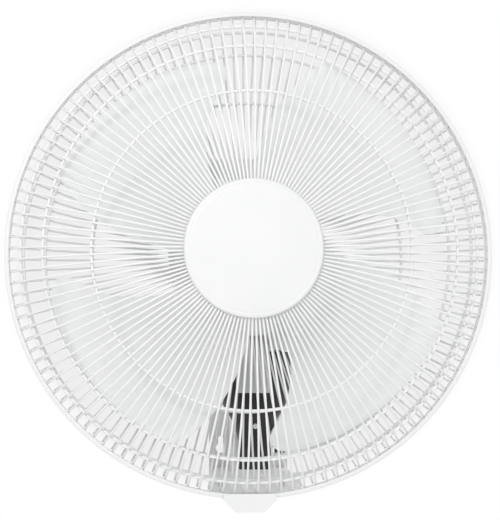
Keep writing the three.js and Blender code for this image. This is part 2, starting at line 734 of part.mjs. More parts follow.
// A sleeve on the shaft with one groove for each turn of its thread.
function worm() {
  const bore = SHAFT_RADIUS + FIT_GAP;
  const pitch = WORM_LENGTH / WORM_TURNS;
  const start = WHEEL_DEPTH - WORM_LENGTH / 2;
  const profile = [
    [bore, start],
    [WORM_RADIUS, start],
  ];
  for (let i = 0; i < WORM_TURNS; i++) {
    profile.push([WORM_RADIUS, start + (i + 0.35) * pitch]);
    profile.push([WORM_RADIUS - 0.5, start + (i + 0.5) * pitch]);
    profile.push([WORM_RADIUS, start + (i + 0.65) * pitch]);
  }
  profile.push([WORM_RADIUS, start + WORM_LENGTH], [bore, start + WORM_LENGTH]);
  return turned(profile, 16);
}

function buildRotor() {
  const rotor = new THREE.Group();
  rotor.add(piece('impeller', impeller(), BLADE_PLASTIC));
  rotor.add(piece('blade_nut', bladeNut(), WHITE_PLASTIC));
  rotor.add(piece('motor_shaft', motorShaft(), STEEL));
  const pin = piece(
    'drive_pin',
    sideways(bar(DRIVE_PIN_RADIUS, -DRIVE_PIN_LENGTH / 2, DRIVE_PIN_LENGTH / 2, 0, 12)),
    STEEL,
  );
  pin.position.y = DRIVE_PIN_DEPTH;
  rotor.add(pin);
  const core = bar(
    STATOR_BORE_RADIUS - ROTOR_AIR_GAP,
    STATOR_FRONT,
    STATOR_BACK,
    SHAFT_RADIUS + FIT_GAP,
  );
  rotor.add(piece('rotor_core', core, LAMINATION));
  rotor.add(piece('worm', worm(), STEEL));
  return rotor;
}

// ---------- motor ----------
function frontMotorShell() {
  const inner = MOTOR_RADIUS - MOTOR_WALL;
  return turned(
    [
      [BUSH_SEAT_RADIUS, COLLAR_FRONT],
      [COLLAR_RADIUS, COLLAR_FRONT],
      [COLLAR_RADIUS, MOTOR_FRONT],
      [MOTOR_RADIUS - MOTOR_CORNER, MOTOR_FRONT],
      [MOTOR_RADIUS, MOTOR_FRONT + MOTOR_CORNER],
      [MOTOR_RADIUS, MOTOR_SPLIT - FIT_GAP],
      [inner, MOTOR_SPLIT - FIT_GAP],
      [inner, MOTOR_FRONT + MOTOR_WALL + 3],
      [inner - 3, MOTOR_FRONT + MOTOR_WALL],
      [BUSH_SEAT_RADIUS, MOTOR_FRONT + MOTOR_WALL],
    ],
    28,
  );
}

function rearMotorShell() {
  const inner = MOTOR_RADIUS - MOTOR_WALL;
  return turned(
    [
      [inner, MOTOR_SPLIT],
      [MOTOR_RADIUS, MOTOR_SPLIT],
      [MOTOR_RADIUS, MOTOR_BACK - MOTOR_CORNER],
      [MOTOR_RADIUS - MOTOR_CORNER, MOTOR_BACK],
      [BUSH_SEAT_RADIUS, MOTOR_BACK],
      [BUSH_SEAT_RADIUS, MOTOR_BACK - BUSH_LENGTH],
      [BUSH_SEAT_RADIUS + 3, MOTOR_BACK - BUSH_LENGTH],
      [BUSH_SEAT_RADIUS + 3, MOTOR_BACK - MOTOR_WALL],
      [inner - 3, MOTOR_BACK - MOTOR_WALL],
      [inner, MOTOR_BACK - MOTOR_WALL - 3],
    ],
    28,
  );
}

function winding(from, to) {
  const [low, high] = [STATOR_BORE_RADIUS + 2, MOTOR_RADIUS - MOTOR_WALL - 2.5];
  const round = 2.5;
  return turned(
    [
      [low, from],
      [high - round, from],
      [high, from + round],
      [high, to - round],
      [high - round, to],
      [low, to],
    ],
    20,
  );
}

function frontCover() {
  const hole = COLLAR_RADIUS + RUN_GAP;
  const inner = COVER_RADIUS - COVER_WALL;
  return turned(
    [
      [hole, COVER_FRONT],
      [COVER_RADIUS - COVER_CORNER, COVER_FRONT],
      [COVER_RADIUS, COVER_FRONT + COVER_CORNER],
      [COVER_RADIUS, COVER_SPLIT],
      [inner, COVER_SPLIT],
      [inner, COVER_FRONT + COVER_CORNER + 1],
      [COVER_RADIUS - COVER_CORNER - 1, COVER_FRONT + COVER_WALL],
      [hole, COVER_FRONT + COVER_WALL],
    ],
    40,
  );
}

// Front view of the rear cover: a round body whose top rises into a flat crown.
function coverOutline(inset) {
  const radius = COVER_RADIUS - inset;
  const top = COVER_CROWN_HEIGHT - inset;
  const half = COVER_CROWN_HALF_WIDTH - inset;
  const corner = 16;
  const shoulder = Math.acos(half / radius);
  const shape = new THREE.Shape();
  shape.moveTo(half, top - corner);
  shape.quadraticCurveTo(half, top, half - corner, top);
  shape.lineTo(corner - half, top);
  shape.quadraticCurveTo(-half, top, -half, top - corner);
  shape.lineTo(-half, radius * Math.sin(shoulder));
  shape.absarc(0, 0, radius, Math.PI - shoulder, 2 * Math.PI + shoulder, false);
  return shape;
}

function roundOutline(radius) {
  const shape = new THREE.Shape();
  shape.absarc(0, 0, radius, 0, 2 * Math.PI, false);
  return shape;
}

function rearCover() {
  const front = COVER_SPLIT + FIT_GAP;
  const crownBack = front + COVER_CROWN_DEPTH;
  const inner = COVER_RADIUS - COVER_WALL;
  const taper = 12;
  const drum = (radius, back) =>
    turned(
      [
        [0, front],
        [radius, front],
        [radius, back - taper],
        [radius - taper, back],
        [0, back],
      ],
      40,
    );
  const outer = joined(frontPlate(coverOutline(0), front, crownBack), drum(COVER_RADIUS, COVER_BACK));
  const hollow = joined(
    frontPlate(coverOutline(COVER_WALL), front - 1, crownBack - COVER_WALL),
    drum(inner, COVER_BACK - COVER_WALL).translate(0, -FIT_GAP, 0),
  );
  const below = [-COVER_RADIUS - 5, MOTOR_RADIUS - COVER_RADIUS - 5];
  const bracketHole = upright(bar(BRACKET_RADIUS + 2, ...below));
  bracketHole.translate(-HEAD_X, SWIVEL_DEPTH, 0);
  const crankHole = upright(bar(CRANK_SHAFT_RADIUS + 1.5, ...below, 0, 16));
  crankHole.translate(0, CRANK_DEPTH, 0);
  const stemHole = upright(bar(OSC_STEM_RADIUS + 1, MOTOR_RADIUS, COVER_RADIUS + 5, 0, 16));
  stemHole.translate(WHEEL_X, WHEEL_DEPTH, 0);
  return cut(outer.subtract(hollow), bracketHole, crankHole, stemHole);
}

// ---------- gearbox and swing linkage ----------
// The crank throw and link length that swing the head by the stated angle each way.
const POST = new THREE.Vector2(LINK_POST_X, LINK_POST_Y);
const CRANK_CENTRE = new THREE.Vector2(HEAD_X, CRANK_DEPTH - SWIVEL_DEPTH);
const reachAt = (angle) =>
  CRANK_CENTRE.clone().rotateAround(new THREE.Vector2(), radians(angle)).distanceTo(POST);
const LINK_LENGTH = (reachAt(SWING_HALF_ANGLE) + reachAt(-SWING_HALF_ANGLE)) / 2;
const CRANK_THROW = (reachAt(SWING_HALF_ANGLE) - reachAt(-SWING_HALF_ANGLE)) / 2;
const REST_REACH = reachAt(0);
const LINK_ANGLE =
  Math.atan2(CRANK_CENTRE.y - POST.y, CRANK_CENTRE.x - POST.x) -
  Math.acos(
    (REST_REACH ** 2 + LINK_LENGTH ** 2 - CRANK_THROW ** 2) / (2 * REST_REACH * LINK_LENGTH),
  );
const LINK_END = new THREE.Vector2(
  POST.x + LINK_LENGTH * Math.cos(LINK_ANGLE),
  POST.y + LINK_LENGTH * Math.sin(LINK_ANGLE),
);

function gearboxHousing() {
  const [x0, x1] = [BOX_LEFT, BOX_RIGHT];
  const h = BOX_HALF_HEIGHT;
  const outer = block([x0, x1], [BOX_FRONT, BOX_BACK], [-h, h]);
  const hollow = block(
    [x0 + BOX_WALL, x1 - BOX_WALL],
    [BOX_FRONT + BOX_WALL, BOX_BACK - BOX_WALL],
    [-h + BOX_WALL, h + 1],
  );
  const shaftHole = bar(SHAFT_RADIUS + 1.2, BOX_FRONT - 1, BOX_FRONT + BOX_WALL + 1, 0, 16);
  const crankHole = upright(bar(CRANK_SHAFT_RADIUS + RUN_GAP, -h - 1, -h + BOX_WALL + 1));
  crankHole.translate(0, CRANK_DEPTH, 0);
  return cut(solid(outer), hollow, shaftHole, crankHole);
}

function gearboxLid() {
  const bottom = BOX_HALF_HEIGHT + FIT_GAP;
  const lid = block(
    [BOX_LEFT, BOX_RIGHT],
    [BOX_FRONT, BOX_BACK],
    [bottom, bottom + BOX_LID_THICKNESS],
  );
  const hole = upright(bar(ARBOR_RADIUS + RUN_GAP, bottom - 1, bottom + BOX_LID_THICKNESS + 1));
  return cut(solid(lid), hole.translate(WHEEL_X, WHEEL_DEPTH, 0));
}

// Worm wheel, its pinion and their common arbor, bored for the clutch stem.
function wormWheel() {
  const half = WORM_WHEEL_THICKNESS / 2;
  const pinionRadius = (GEAR_MODULE * PINION_TEETH) / 2;
  const pinionTop = CRANK_GEAR_BOTTOM + CRANK_GEAR_THICKNESS + 1.5;
  const root = WORM_WHEEL_RADIUS - WORM_TOOTH;
  const teeth = fineTeethOutline(WORM_WHEEL_TEETH, WORM_WHEEL_RADIUS, root);
  const wheelTeeth = planPlate(teeth, -half, half);
  const pinion = planPlate(gearOutline(PINION_TEETH, pinionRadius), CRANK_GEAR_BOTTOM, pinionTop);
  pinion.rotateZ(GEAR_ANGLE);
  const arbor = upright(
    bar(ARBOR_RADIUS, CRANK_GEAR_BOTTOM, BOX_HALF_HEIGHT + FIT_GAP + BOX_LID_THICKNESS),
  );
  const boreBottom = -WORM_WHEEL_THICKNESS / 2;
  const bore = upright(bar(OSC_STEM_RADIUS + RUN_GAP, boreBottom, COVER_RADIUS, 0, 16));
  return cut(joined(wheelTeeth, pinion, arbor), bore);
}

// Crank gear, its shaft, the disc under the cover and the crank pin.
function crank() {
  const discBottom = LINK_BOTTOM + LINK_THICKNESS + 2 - HEAD_Z;
  const discTop = discBottom + CRANK_DISC_THICKNESS;
  const gear = planPlate(
    gearOutline(CRANK_GEAR_TEETH, CRANK_GEAR_RADIUS),
    CRANK_GEAR_BOTTOM,
    CRANK_GEAR_BOTTOM + CRANK_GEAR_THICKNESS,
  );
  gear.rotateZ(GEAR_ANGLE + Math.PI + Math.PI / CRANK_GEAR_TEETH);
  const shaft = upright(
    bar(CRANK_SHAFT_RADIUS, discTop - 1, CRANK_GEAR_BOTTOM + CRANK_GEAR_THICKNESS + 4),
  );
  const disc = upright(bar(CRANK_THROW + CRANK_PIN_RADIUS + 1.5, discBottom, discTop, 0, 32));
  const pinFoot = LINK_BOTTOM + LINK_THICKNESS + FIT_GAP - HEAD_Z;
  const pin = upright(bar(CRANK_PIN_RADIUS, pinFoot, discBottom + 1, 0, 20));
  pin.translate(LINK_END.x - CRANK_CENTRE.x, LINK_END.y - CRANK_CENTRE.y, 0);
  return joined(gear, shaft, disc, pin);
}

// Flat bar with an eye over the neck's post; its far end lies under the crank pin.
function crankLink() {
  const w = LINK_HALF_WIDTH;
  const eye = w + 2.5;
  const top = LINK_BOTTOM + LINK_THICKNESS;
  const strip = block([0, LINK_LENGTH], [-w, w], [LINK_BOTTOM, top]);
  const ends = [0, LINK_LENGTH].map((x) =>
    upright(bar(eye, LINK_BOTTOM, top)).translate(x, 0, 0),
  );
  const hole = upright(bar(LINK_POST_RADIUS + RUN_GAP, LINK_BOTTOM - 1, top + 1, 0, 20));
  return cut(joined(strip, ...ends), hole);
}

function oscillationKnob() {
  const bottom = COVER_RADIUS + 1;
  const top = bottom + OSC_KNOB_HEIGHT;
  const grip = upright(
    turned(
      [
        [0, bottom],
        [OSC_KNOB_RADIUS - 2.5, bottom],
        [OSC_KNOB_RADIUS - 3, bottom + 9],
        [OSC_KNOB_RADIUS, bottom + 12],
        [OSC_KNOB_RADIUS, top - 2],
        [OSC_KNOB_RADIUS - 2, top],
        [0, top],
      ],
      24,
    ),
  );
  const stem = upright(bar(OSC_STEM_RADIUS, 2, bottom + 1, 0, 16));
  return joined(grip, stem);
}

// Cast saddle under the motor that carries the head on the swivel pin.
function pivotBracket() {
  const bottom = BRACKET_BOTTOM - HEAD_Z;
  const post = upright(bar(BRACKET_RADIUS, bottom, 12 - MOTOR_RADIUS, 0, 32));
  post.translate(-HEAD_X, SWIVEL_DEPTH, 0);
  const motor = bar(MOTOR_RADIUS + FIT_GAP, MOTOR_FRONT - 20, BOX_FRONT, 0, 40);
  const box = block(
    [BOX_LEFT - 1, BOX_RIGHT + 1],
    [BOX_FRONT - FIT_GAP, BOX_BACK],
    [-BOX_HALF_HEIGHT - FIT_GAP, BOX_HALF_HEIGHT],
  );
  const bore = upright(bar(SWIVEL_PIN_RADIUS + FIT_GAP, bottom - 1, bottom + 26));
  bore.translate(-HEAD_X, SWIVEL_DEPTH, 0);
  return cut(solid(post), motor, box, bore);
}

// Grey cover that hangs from the bracket and hides the swivel from the front.
function pivotApron() {
  const axisX = -HEAD_X;
  const x0 = axisX + APRON_X - APRON_WIDTH / 2;
  const x1 = x0 + APRON_WIDTH;
  const bottom = BRACKET_BOTTOM + FIT_GAP - HEAD_Z;
  const top = bottom + 5;
  const flangeTop = bottom + APRON_FLANGE;
  const foot = bottom - APRON_HEIGHT;
  const skirt = block([x0, x1], [APRON_FRONT, APRON_FRONT + APRON_THICKNESS], [foot, top]);
  const tongue = block([x0, x1], [APRON_FRONT, SWIVEL_DEPTH], [bottom, flangeTop]);
  const collar = upright(bar(BRACKET_RADIUS + 4, bottom, flangeTop, 0, 32));
  collar.translate(axisX, SWIVEL_DEPTH, 0);
  const ribs = [x0, x1 - 2].map((x) =>
    block([x, x + 2], [APRON_FRONT, APRON_FRONT + 14], [bottom - 1.5, top]),
  );
  const hole = upright(bar(BRACKET_RADIUS + FIT_GAP, bottom - 1, top, 0, 32));
  hole.translate(axisX, SWIVEL_DEPTH, 0);
  return cut(joined(skirt, tongue, collar, ...ribs), hole);
}

function swivelPin() {
  return upright(bar(SWIVEL_PIN_RADIUS, PIN_POCKET_TOP - 6, BRACKET_BOTTOM + 24));
}

function buildHead() {
  const head = new THREE.Group();
  head.position.set(HEAD_X, RIM_Y, HEAD_Z);
  head.add(buildGuard(), buildRotor());
  head.add(piece('motor_front_cover', frontCover(), WHITE_PLASTIC));
  head.add(piece('motor_rear_cover', rearCover(), WHITE_PLASTIC));
  head.add(piece('motor_front_shell', frontMotorShell(), CAST_METAL));
  head.add(piece('motor_rear_shell', rearMotorShell(), CAST_METAL));
  const statorRim = MOTOR_RADIUS - MOTOR_WALL - FIT_GAP;
  const stator = bar(statorRim, STATOR_FRONT, STATOR_BACK, STATOR_BORE_RADIUS, 28);
  head.add(piece('stator_core', stator, LAMINATION));
  const frontWinding = winding(STATOR_FRONT - FIT_GAP - WINDING_DEPTH, STATOR_FRONT - FIT_GAP);
  head.add(piece('front_winding', frontWinding, COPPER));
  const rearWinding = winding(STATOR_BACK + FIT_GAP, STATOR_BACK + FIT_GAP + WINDING_DEPTH);
  head.add(piece('rear_winding', rearWinding, COPPER));
  const bushBore = SHAFT_RADIUS + RUN_GAP;
  const bush = (from) => bar(bushBore + BUSH_WALL, from, from + BUSH_LENGTH, bushBore, 16);
  head.add(piece('front_bearing', bush(COLLAR_FRONT + 4), BRONZE));
  head.add(piece('rear_bearing', bush(MOTOR_BACK - BUSH_LENGTH), BRONZE));
  head.add(piece('gearbox_housing', gearboxHousing(), CAST_METAL));
  head.add(piece('gearbox_lid', gearboxLid(), CAST_METAL));
  const wheel = piece('worm_wheel', wormWheel(), NYLON);
  wheel.position.set(WHEEL_X, WHEEL_DEPTH, 0);
  head.add(wheel);
  const crankMesh = piece('oscillation_crank', crank(), STEEL);
  crankMesh.position.y = CRANK_DEPTH;
  head.add(crankMesh);
  const knob = piece('oscillation_knob', oscillationKnob(), WHITE_PLASTIC);
  knob.position.set(WHEEL_X, WHEEL_DEPTH, 0);
  head.add(knob);
  head.add(piece('pivot_bracket', pivotBracket(), CAST_METAL));
  head.add(piece('pivot_apron', pivotApron(), GREY_PLASTIC));
  return head;
}

// ---------- neck ----------
function neckBody() {
  const bellyRadius = CUP_RADIUS - 6;
  const waistRadius = COLUMN_HALF_WIDTH + 5.5;
  const cup = upright(
    turned(
      [
        [0, CUP_FOOT],
        [COLUMN_HALF_WIDTH - 0.2, CUP_FOOT],
        [waistRadius, CUP_WAIST],
        [bellyRadius, CUP_BELLY],
        [CUP_RADIUS, CUP_FLOOR - 8],
        [CUP_RADIUS, CUP_TOP],
        [CUP_RADIUS - CUP_WALL, CUP_TOP],
        [CUP_RADIUS - CUP_WALL, CUP_FLOOR],
        [NECK_BOSS_RADIUS, CUP_FLOOR],
        [NECK_BOSS_RADIUS, NECK_BOSS_TOP],
        [0, NECK_BOSS_TOP],
      ],
      36,
    ),
  );
  const column = block(
    [-COLUMN_HALF_WIDTH, COLUMN_HALF_WIDTH],
    [-COLUMN_HALF_DEPTH, COLUMN_HALF_DEPTH],
    [COLUMN_BOTTOM, CUP_BELLY],
  );
  const postBoss = upright(bar(LINK_POST_RADIUS + 3, CUP_FLOOR - 1, LINK_BOTTOM - 2 * FIT_GAP, 0, 20));
  postBoss.translate(POST.x, POST.y, 0);
  const plugBoss = bar(PLUG_BOSS_RADIUS, -PLUG_FACE, 1 - COLUMN_HALF_DEPTH, 0, 20);
  plugBoss.translate(0, 0, PLUG_Z);
  const slot = block(
    [-EAR_HALF_WIDTH - FIT_GAP, EAR_HALF_WIDTH + FIT_GAP],
    [NECK_WEB - COLUMN_HALF_DEPTH, CUP_RADIUS + 5],
    [COLUMN_BOTTOM - 1, EAR_SLOT_TOP],
  );
  const bore = upright(bar(SWIVEL_PIN_RADIUS + RUN_GAP, PIN_POCKET_TOP - 1, NECK_BOSS_TOP + 1));
  const pocket = upright(bar(SWIVEL_PIN_RADIUS + 4.5, EAR_SLOT_TOP - 1, PIN_POCKET_TOP));
  const boltHole = sideways(
    bar(TILT_BOLT_RADIUS + RUN_GAP, -COLUMN_HALF_WIDTH - 1, COLUMN_HALF_WIDTH + 1),
  );
  boltHole.translate(0, 0, TILT_Z);
  const nutSeatX = -COLUMN_HALF_WIDTH + TILT_NUT_THICKNESS + FIT_GAP;
  const nutSeat = sideways(bar(TILT_NUT_RADIUS + RUN_GAP, -CUP_RADIUS, nutSeatX));
  nutSeat.translate(0, 0, TILT_Z);
  const knobSeat = sideways(bar(TILT_KNOB_RADIUS + 1, COLUMN_HALF_WIDTH, CUP_RADIUS));
  knobSeat.translate(0, 0, TILT_Z);
  const postHole = upright(bar(LINK_POST_RADIUS + FIT_GAP, CUP_FLOOR + 6, CUP_TOP + 5, 0, 20));
  postHole.translate(POST.x, POST.y, 0);
  const plugHole = bar(PLUG_RADIUS - 0.5 + FIT_GAP, -PLUG_FACE - 1, 3 - PLUG_FACE, 0, 16);
  plugHole.translate(0, 0, PLUG_Z);
  const body = joined(cup, column, postBoss, plugBoss);
  return cut(body, slot, bore, pocket, boltHole, nutSeat, knobSeat, postHole, plugHole);
}

function linkPost() {
  const head = LINK_BOTTOM + LINK_THICKNESS + FIT_GAP;
  return upright(
    turned(
      [
        [0, CUP_FLOOR + 6 + FIT_GAP],
        [LINK_POST_RADIUS, CUP_FLOOR + 6 + FIT_GAP],
        [LINK_POST_RADIUS, head],
        [LINK_POST_RADIUS + 1.5, head],
        [LINK_POST_RADIUS + 1.5, head + 1.3],
        [0, head + 1.3],
      ],
      16,
    ),
  ).translate(POST.x, POST.y, 0);
}

function retainingRing() {
  const top = PIN_POCKET_TOP - FIT_GAP;
  return upright(bar(SWIVEL_PIN_RADIUS + 3.5, top - 2, top, SWIVEL_PIN_RADIUS + FIT_GAP, 20));
}

function tiltKnob() {
  const points = [];
  const steps = TILT_KNOB_LOBES * 6;
  for (let i = 0; i < steps; i++) {
    const angle = (i / steps) * 2 * Math.PI;
    const lobe = TILT_KNOB_LOBE_HEIGHT * (Math.cos(TILT_KNOB_LOBES * angle) - 1);
    const radius = TILT_KNOB_RADIUS + lobe;
    points.push([radius * Math.cos(angle), radius * Math.sin(angle)]);
  }
  const grip = planPlate(outline(points), 4, TILT_KNOB_LENGTH).rotateY(Math.PI / 2);
  const stem = sideways(bar(TILT_BOLT_RADIUS + 3, 0, 5));
  const bolt = sideways(bar(TILT_BOLT_RADIUS, -2 * COLUMN_HALF_WIDTH - FIT_GAP, 1));
  return joined(grip, stem, bolt).translate(COLUMN_HALF_WIDTH + FIT_GAP, 0, 0);
}

function tiltNut() {
  const from = -COLUMN_HALF_WIDTH;
  const to = from + TILT_NUT_THICKNESS;
  const hexagon = sideways(bar(TILT_NUT_RADIUS, from, to, 0, 6));
  return cut(solid(hexagon), sideways(bar(TILT_BOLT_RADIUS + FIT_GAP, from - 1, to + 1)));
}

function neckPlug() {
  const face = -PLUG_FACE - FIT_GAP;
  const body = PLUG_RADIUS - 0.5;
  return turned(
    [
      [0, face - 1.2],
      [PLUG_RADIUS - 0.6, face - 1.2],
      [PLUG_RADIUS, face - 0.5],
      [PLUG_RADIUS, face],
      [body, face],
      [body, 2.6 - PLUG_FACE],
      [0, 2.6 - PLUG_FACE],
    ],
    12,
  ).translate(0, 0, PLUG_Z);
}

function buildNeck() {
  const neck = new THREE.Group();
  neck.position.y = SWIVEL_Y;
  neck.add(piece('neck', neckBody(), BLACK_PLASTIC));
  neck.add(piece('neck_plug', neckPlug(), WHITE_PLASTIC));
  neck.add(piece('link_post', linkPost(), STEEL));
  const washerTop = BRACKET_BOTTOM - FIT_GAP;
  const washerBottom = washerTop - WASHER_THICKNESS;
  const washer = upright(
    bar(NECK_BOSS_RADIUS + 0.4, washerBottom, washerTop, SWIVEL_PIN_RADIUS + RUN_GAP),
  );
  neck.add(piece('swivel_washer', washer, NYLON));
  neck.add(piece('swivel_pin', swivelPin(), STEEL));
  neck.add(piece('swivel_retaining_ring', retainingRing(), STEEL));
  const link = piece('crank_link', crankLink(), STEEL);
  link.position.set(POST.x, POST.y, 0);
  link.rotation.z = LINK_ANGLE;
  neck.add(link);
  const knob = piece('tilt_knob', tiltKnob(), BLACK_PLASTIC);
  knob.position.z = TILT_Z;
  neck.add(knob);
  const nut = piece('tilt_nut', tiltNut(), STEEL);
  nut.position.z = TILT_Z;
  neck.add(nut);
  return neck;
}

// ---------- wall bracket ----------
function keyhole(side) {
  const x = side * KEYHOLE_X;
  const shape = new THREE.Shape();
  const open = Math.asin(KEYHOLE_SLOT_RADIUS / KEYHOLE_HEAD_RADIUS);
  shape.absarc(x, KEYHOLE_Z, KEYHOLE_HEAD_RADIUS, Math.PI / 2 + open, 2.5 * Math.PI - open, false);
  shape.absarc(x, KEYHOLE_Z + KEYHOLE_RISE, KEYHOLE_SLOT_RADIUS, 0, Math.PI, false);
  return frontPlate(shape, -PLATE_THICKNESS - 1, 1, 8);
}

function wallPlate() {
  const [w, h, r] = [PLATE_WIDTH / 2, PLATE_HEIGHT / 2, PLATE_CORNER];
  const shape = new THREE.Shape();
  shape.absarc(w - r, h - r, r, 0, Math.PI / 2, false);
  shape.absarc(r - w, h - r, r, Math.PI / 2, Math.PI, false);
  shape.absarc(r - w, r - h, r, Math.PI, 1.5 * Math.PI, false);
  shape.absarc(w - r, r - h, r, 1.5 * Math.PI, 2 * Math.PI, false);
  return cut(solid(frontPlate(shape, -PLATE_THICKNESS, 0)), keyhole(-1), keyhole(1));
}

function baseHousing() {
  const back = -PLATE_THICKNESS - FIT_GAP;
  const stem = block([-STEM_HALF_WIDTH, STEM_HALF_WIDTH], [STEM_FRONT, back], [FOOT_TOP - 2, STEM_TOP]);
  const foot = block([-FOOT_HALF_WIDTH, FOOT_HALF_WIDTH], [FOOT_FRONT, back], [FOOT_BOTTOM, FOOT_TOP]);
  const w = BASE_WALL;
  const hollowStem = block(
    [w - STEM_HALF_WIDTH, STEM_HALF_WIDTH - w],
    [STEM_FRONT + w, back + 1],
    [FOOT_TOP - 6, STEM_TOP - w],
  );
  const hollowFoot = block(
    [w - FOOT_HALF_WIDTH, FOOT_HALF_WIDTH - w],
    [FOOT_FRONT + w, back + 1],
    [FOOT_BOTTOM + w, FOOT_TOP - w],
  );
  const earBar = block(
    [-EAR_HALF_WIDTH, EAR_HALF_WIDTH],
    [SWIVEL_Y, STEM_FRONT + 1],
    [TILT_Z - EAR_RADIUS, TILT_Z + EAR_RADIUS],
  );
  const earEnd = sideways(bar(EAR_RADIUS, -EAR_HALF_WIDTH, EAR_HALF_WIDTH, 0, 32));
  earEnd.translate(0, SWIVEL_Y, TILT_Z);
  const bolt = sideways(
    bar(TILT_BOLT_RADIUS + RUN_GAP, -EAR_HALF_WIDTH - 1, EAR_HALF_WIDTH + 1),
  );
  bolt.translate(0, SWIVEL_Y, TILT_Z);
  const spindleHole = sideways(
    bar(SPEED_SPINDLE_RADIUS + RUN_GAP, FOOT_HALF_WIDTH - w - 1, FOOT_HALF_WIDTH + 1, 0, 20),
  );
  spindleHole.translate(0, SWITCH_Y, SWITCH_Z);
  const glandHole = upright(
    bar(GLAND_RADIUS - GLAND_STEP + FIT_GAP, FOOT_BOTTOM - 1, FOOT_BOTTOM + w + 1, 0, 20),
  );
  glandHole.translate(0, GLAND_Y, 0);
  return cut(joined(stem, foot, earBar, earEnd), hollowStem, hollowFoot, bolt, spindleHole, glandHole);
}

function cordGland() {
  const top = FOOT_BOTTOM - FIT_GAP;
  return upright(
    turned(
      [
        [CORD_BORE_RADIUS, top - GLAND_LENGTH + 1],
        [CORD_BORE_RADIUS + GLAND_STEP, top - GLAND_LENGTH],
        [GLAND_RADIUS, top - 2],
        [GLAND_RADIUS, top],
        [GLAND_RADIUS - GLAND_STEP, top],
        [GLAND_RADIUS - GLAND_STEP, top + BASE_WALL + 3],
        [CORD_BORE_RADIUS, top + BASE_WALL + 3],
      ],
      16,
    ),
  ).translate(0, GLAND_Y, 0);
}

function buildBase() {
  const base = new THREE.Group();
  base.add(piece('wall_plate', wallPlate(), WHITE_PLASTIC));
  base.add(piece('base_housing', baseHousing(), WHITE_PLASTIC));
  base.add(piece('cord_gland', cordGland(), BLACK_PLASTIC));
  const wallInside = FOOT_HALF_WIDTH - BASE_WALL - FIT_GAP;
  const body = sideways(
    bar(SWITCH_RADIUS, wallInside - SWITCH_LENGTH, wallInside, SPEED_SPINDLE_RADIUS + RUN_GAP, 24),
  );
  const speedSwitch = piece('speed_switch', body, BLACK_PLASTIC);
  speedSwitch.position.set(0, SWITCH_Y, SWITCH_Z);
  base.add(speedSwitch);
  const face = FOOT_HALF_WIDTH + FIT_GAP;
  const knobProfile = [
    [0, face],
    [SPEED_KNOB_RADIUS, face],
    [SPEED_KNOB_RADIUS - 0.8, face + SPEED_KNOB_LENGTH - 1.5],
    [SPEED_KNOB_RADIUS - 2.3, face + SPEED_KNOB_LENGTH],
    [0, face + SPEED_KNOB_LENGTH],
  ];
  const spindle = bar(SPEED_SPINDLE_RADIUS, wallInside - SWITCH_LENGTH + 2, face + 1, 0, 20);
  const pointer = block(
    [-1, 1],
    [face + 2, face + SPEED_KNOB_LENGTH + 0.8],
    [2, SPEED_KNOB_RADIUS - 0.5],
  );
  const knob = piece(
    'speed_knob',
    surfaceOf(joined(turned(knobProfile, 32), spindle, pointer)).rotateZ(-Math.PI / 2),
    WHITE_PLASTIC,
  );
  knob.position.set(0, SWITCH_Y, SWITCH_Z);
  base.add(knob);
  const plateFace = -PLATE_THICKNESS - FIT_GAP;
  const capacitor = block(
    [-CAPACITOR_WIDTH / 2, CAPACITOR_WIDTH / 2],
    [plateFace - CAPACITOR_DEPTH, plateFace],
    [FOOT_TOP + 8, FOOT_TOP + 8 + CAPACITOR_HEIGHT],
  );
  base.add(piece('run_capacitor', capacitor, BLACK_PLASTIC));
  const [width, depth, height] = TERMINAL_SIZE;
  const left = BASE_WALL + 4 - FOOT_HALF_WIDTH;
  const bottom = FOOT_BOTTOM + BASE_WALL + FIT_GAP;
  const terminals = block(
    [left, left + width],
    [SWITCH_Y - depth / 2, SWITCH_Y + depth / 2],
    [bottom, bottom + height],
  );
  base.add(piece('terminal_block', terminals, NYLON));
  return base;
}

const fan = new THREE.Group();
fan.add(buildBase(), buildNeck(), buildHead());

export default fan;
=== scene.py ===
"""A wall mounted fan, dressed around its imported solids: wires, blades, covers, neck, bracket."""

import json
import math

import bmesh
import bpy
from mathutils import Matrix, Vector


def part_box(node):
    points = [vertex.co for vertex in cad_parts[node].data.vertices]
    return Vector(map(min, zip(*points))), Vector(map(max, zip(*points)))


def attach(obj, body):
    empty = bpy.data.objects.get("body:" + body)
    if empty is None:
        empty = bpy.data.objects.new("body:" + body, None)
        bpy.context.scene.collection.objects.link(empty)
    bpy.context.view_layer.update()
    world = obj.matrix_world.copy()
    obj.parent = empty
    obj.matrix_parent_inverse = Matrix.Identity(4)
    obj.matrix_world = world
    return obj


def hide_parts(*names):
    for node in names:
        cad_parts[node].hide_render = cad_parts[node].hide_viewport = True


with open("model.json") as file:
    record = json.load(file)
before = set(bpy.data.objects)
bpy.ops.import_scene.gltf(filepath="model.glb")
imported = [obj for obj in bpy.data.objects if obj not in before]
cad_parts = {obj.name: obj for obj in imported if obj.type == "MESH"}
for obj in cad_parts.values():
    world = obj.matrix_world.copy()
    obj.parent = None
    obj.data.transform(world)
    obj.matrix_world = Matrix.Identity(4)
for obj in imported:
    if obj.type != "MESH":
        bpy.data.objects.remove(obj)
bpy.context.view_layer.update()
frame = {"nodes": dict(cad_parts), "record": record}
NODES = frame["nodes"]
BODIES = frame["record"]["behaviour"]["bodies"]
SLOTS = {part["node"]: part["material_slot"] for part in frame["record"]["subparts"]}
MM = 0.001
TAU = 2 * math.pi


# ---------------------------------------------------------------- where things are
def middle(node):
    low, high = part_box(node)
    return (low + high) / 2


def extent(node):
    low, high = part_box(node)
    return high - low


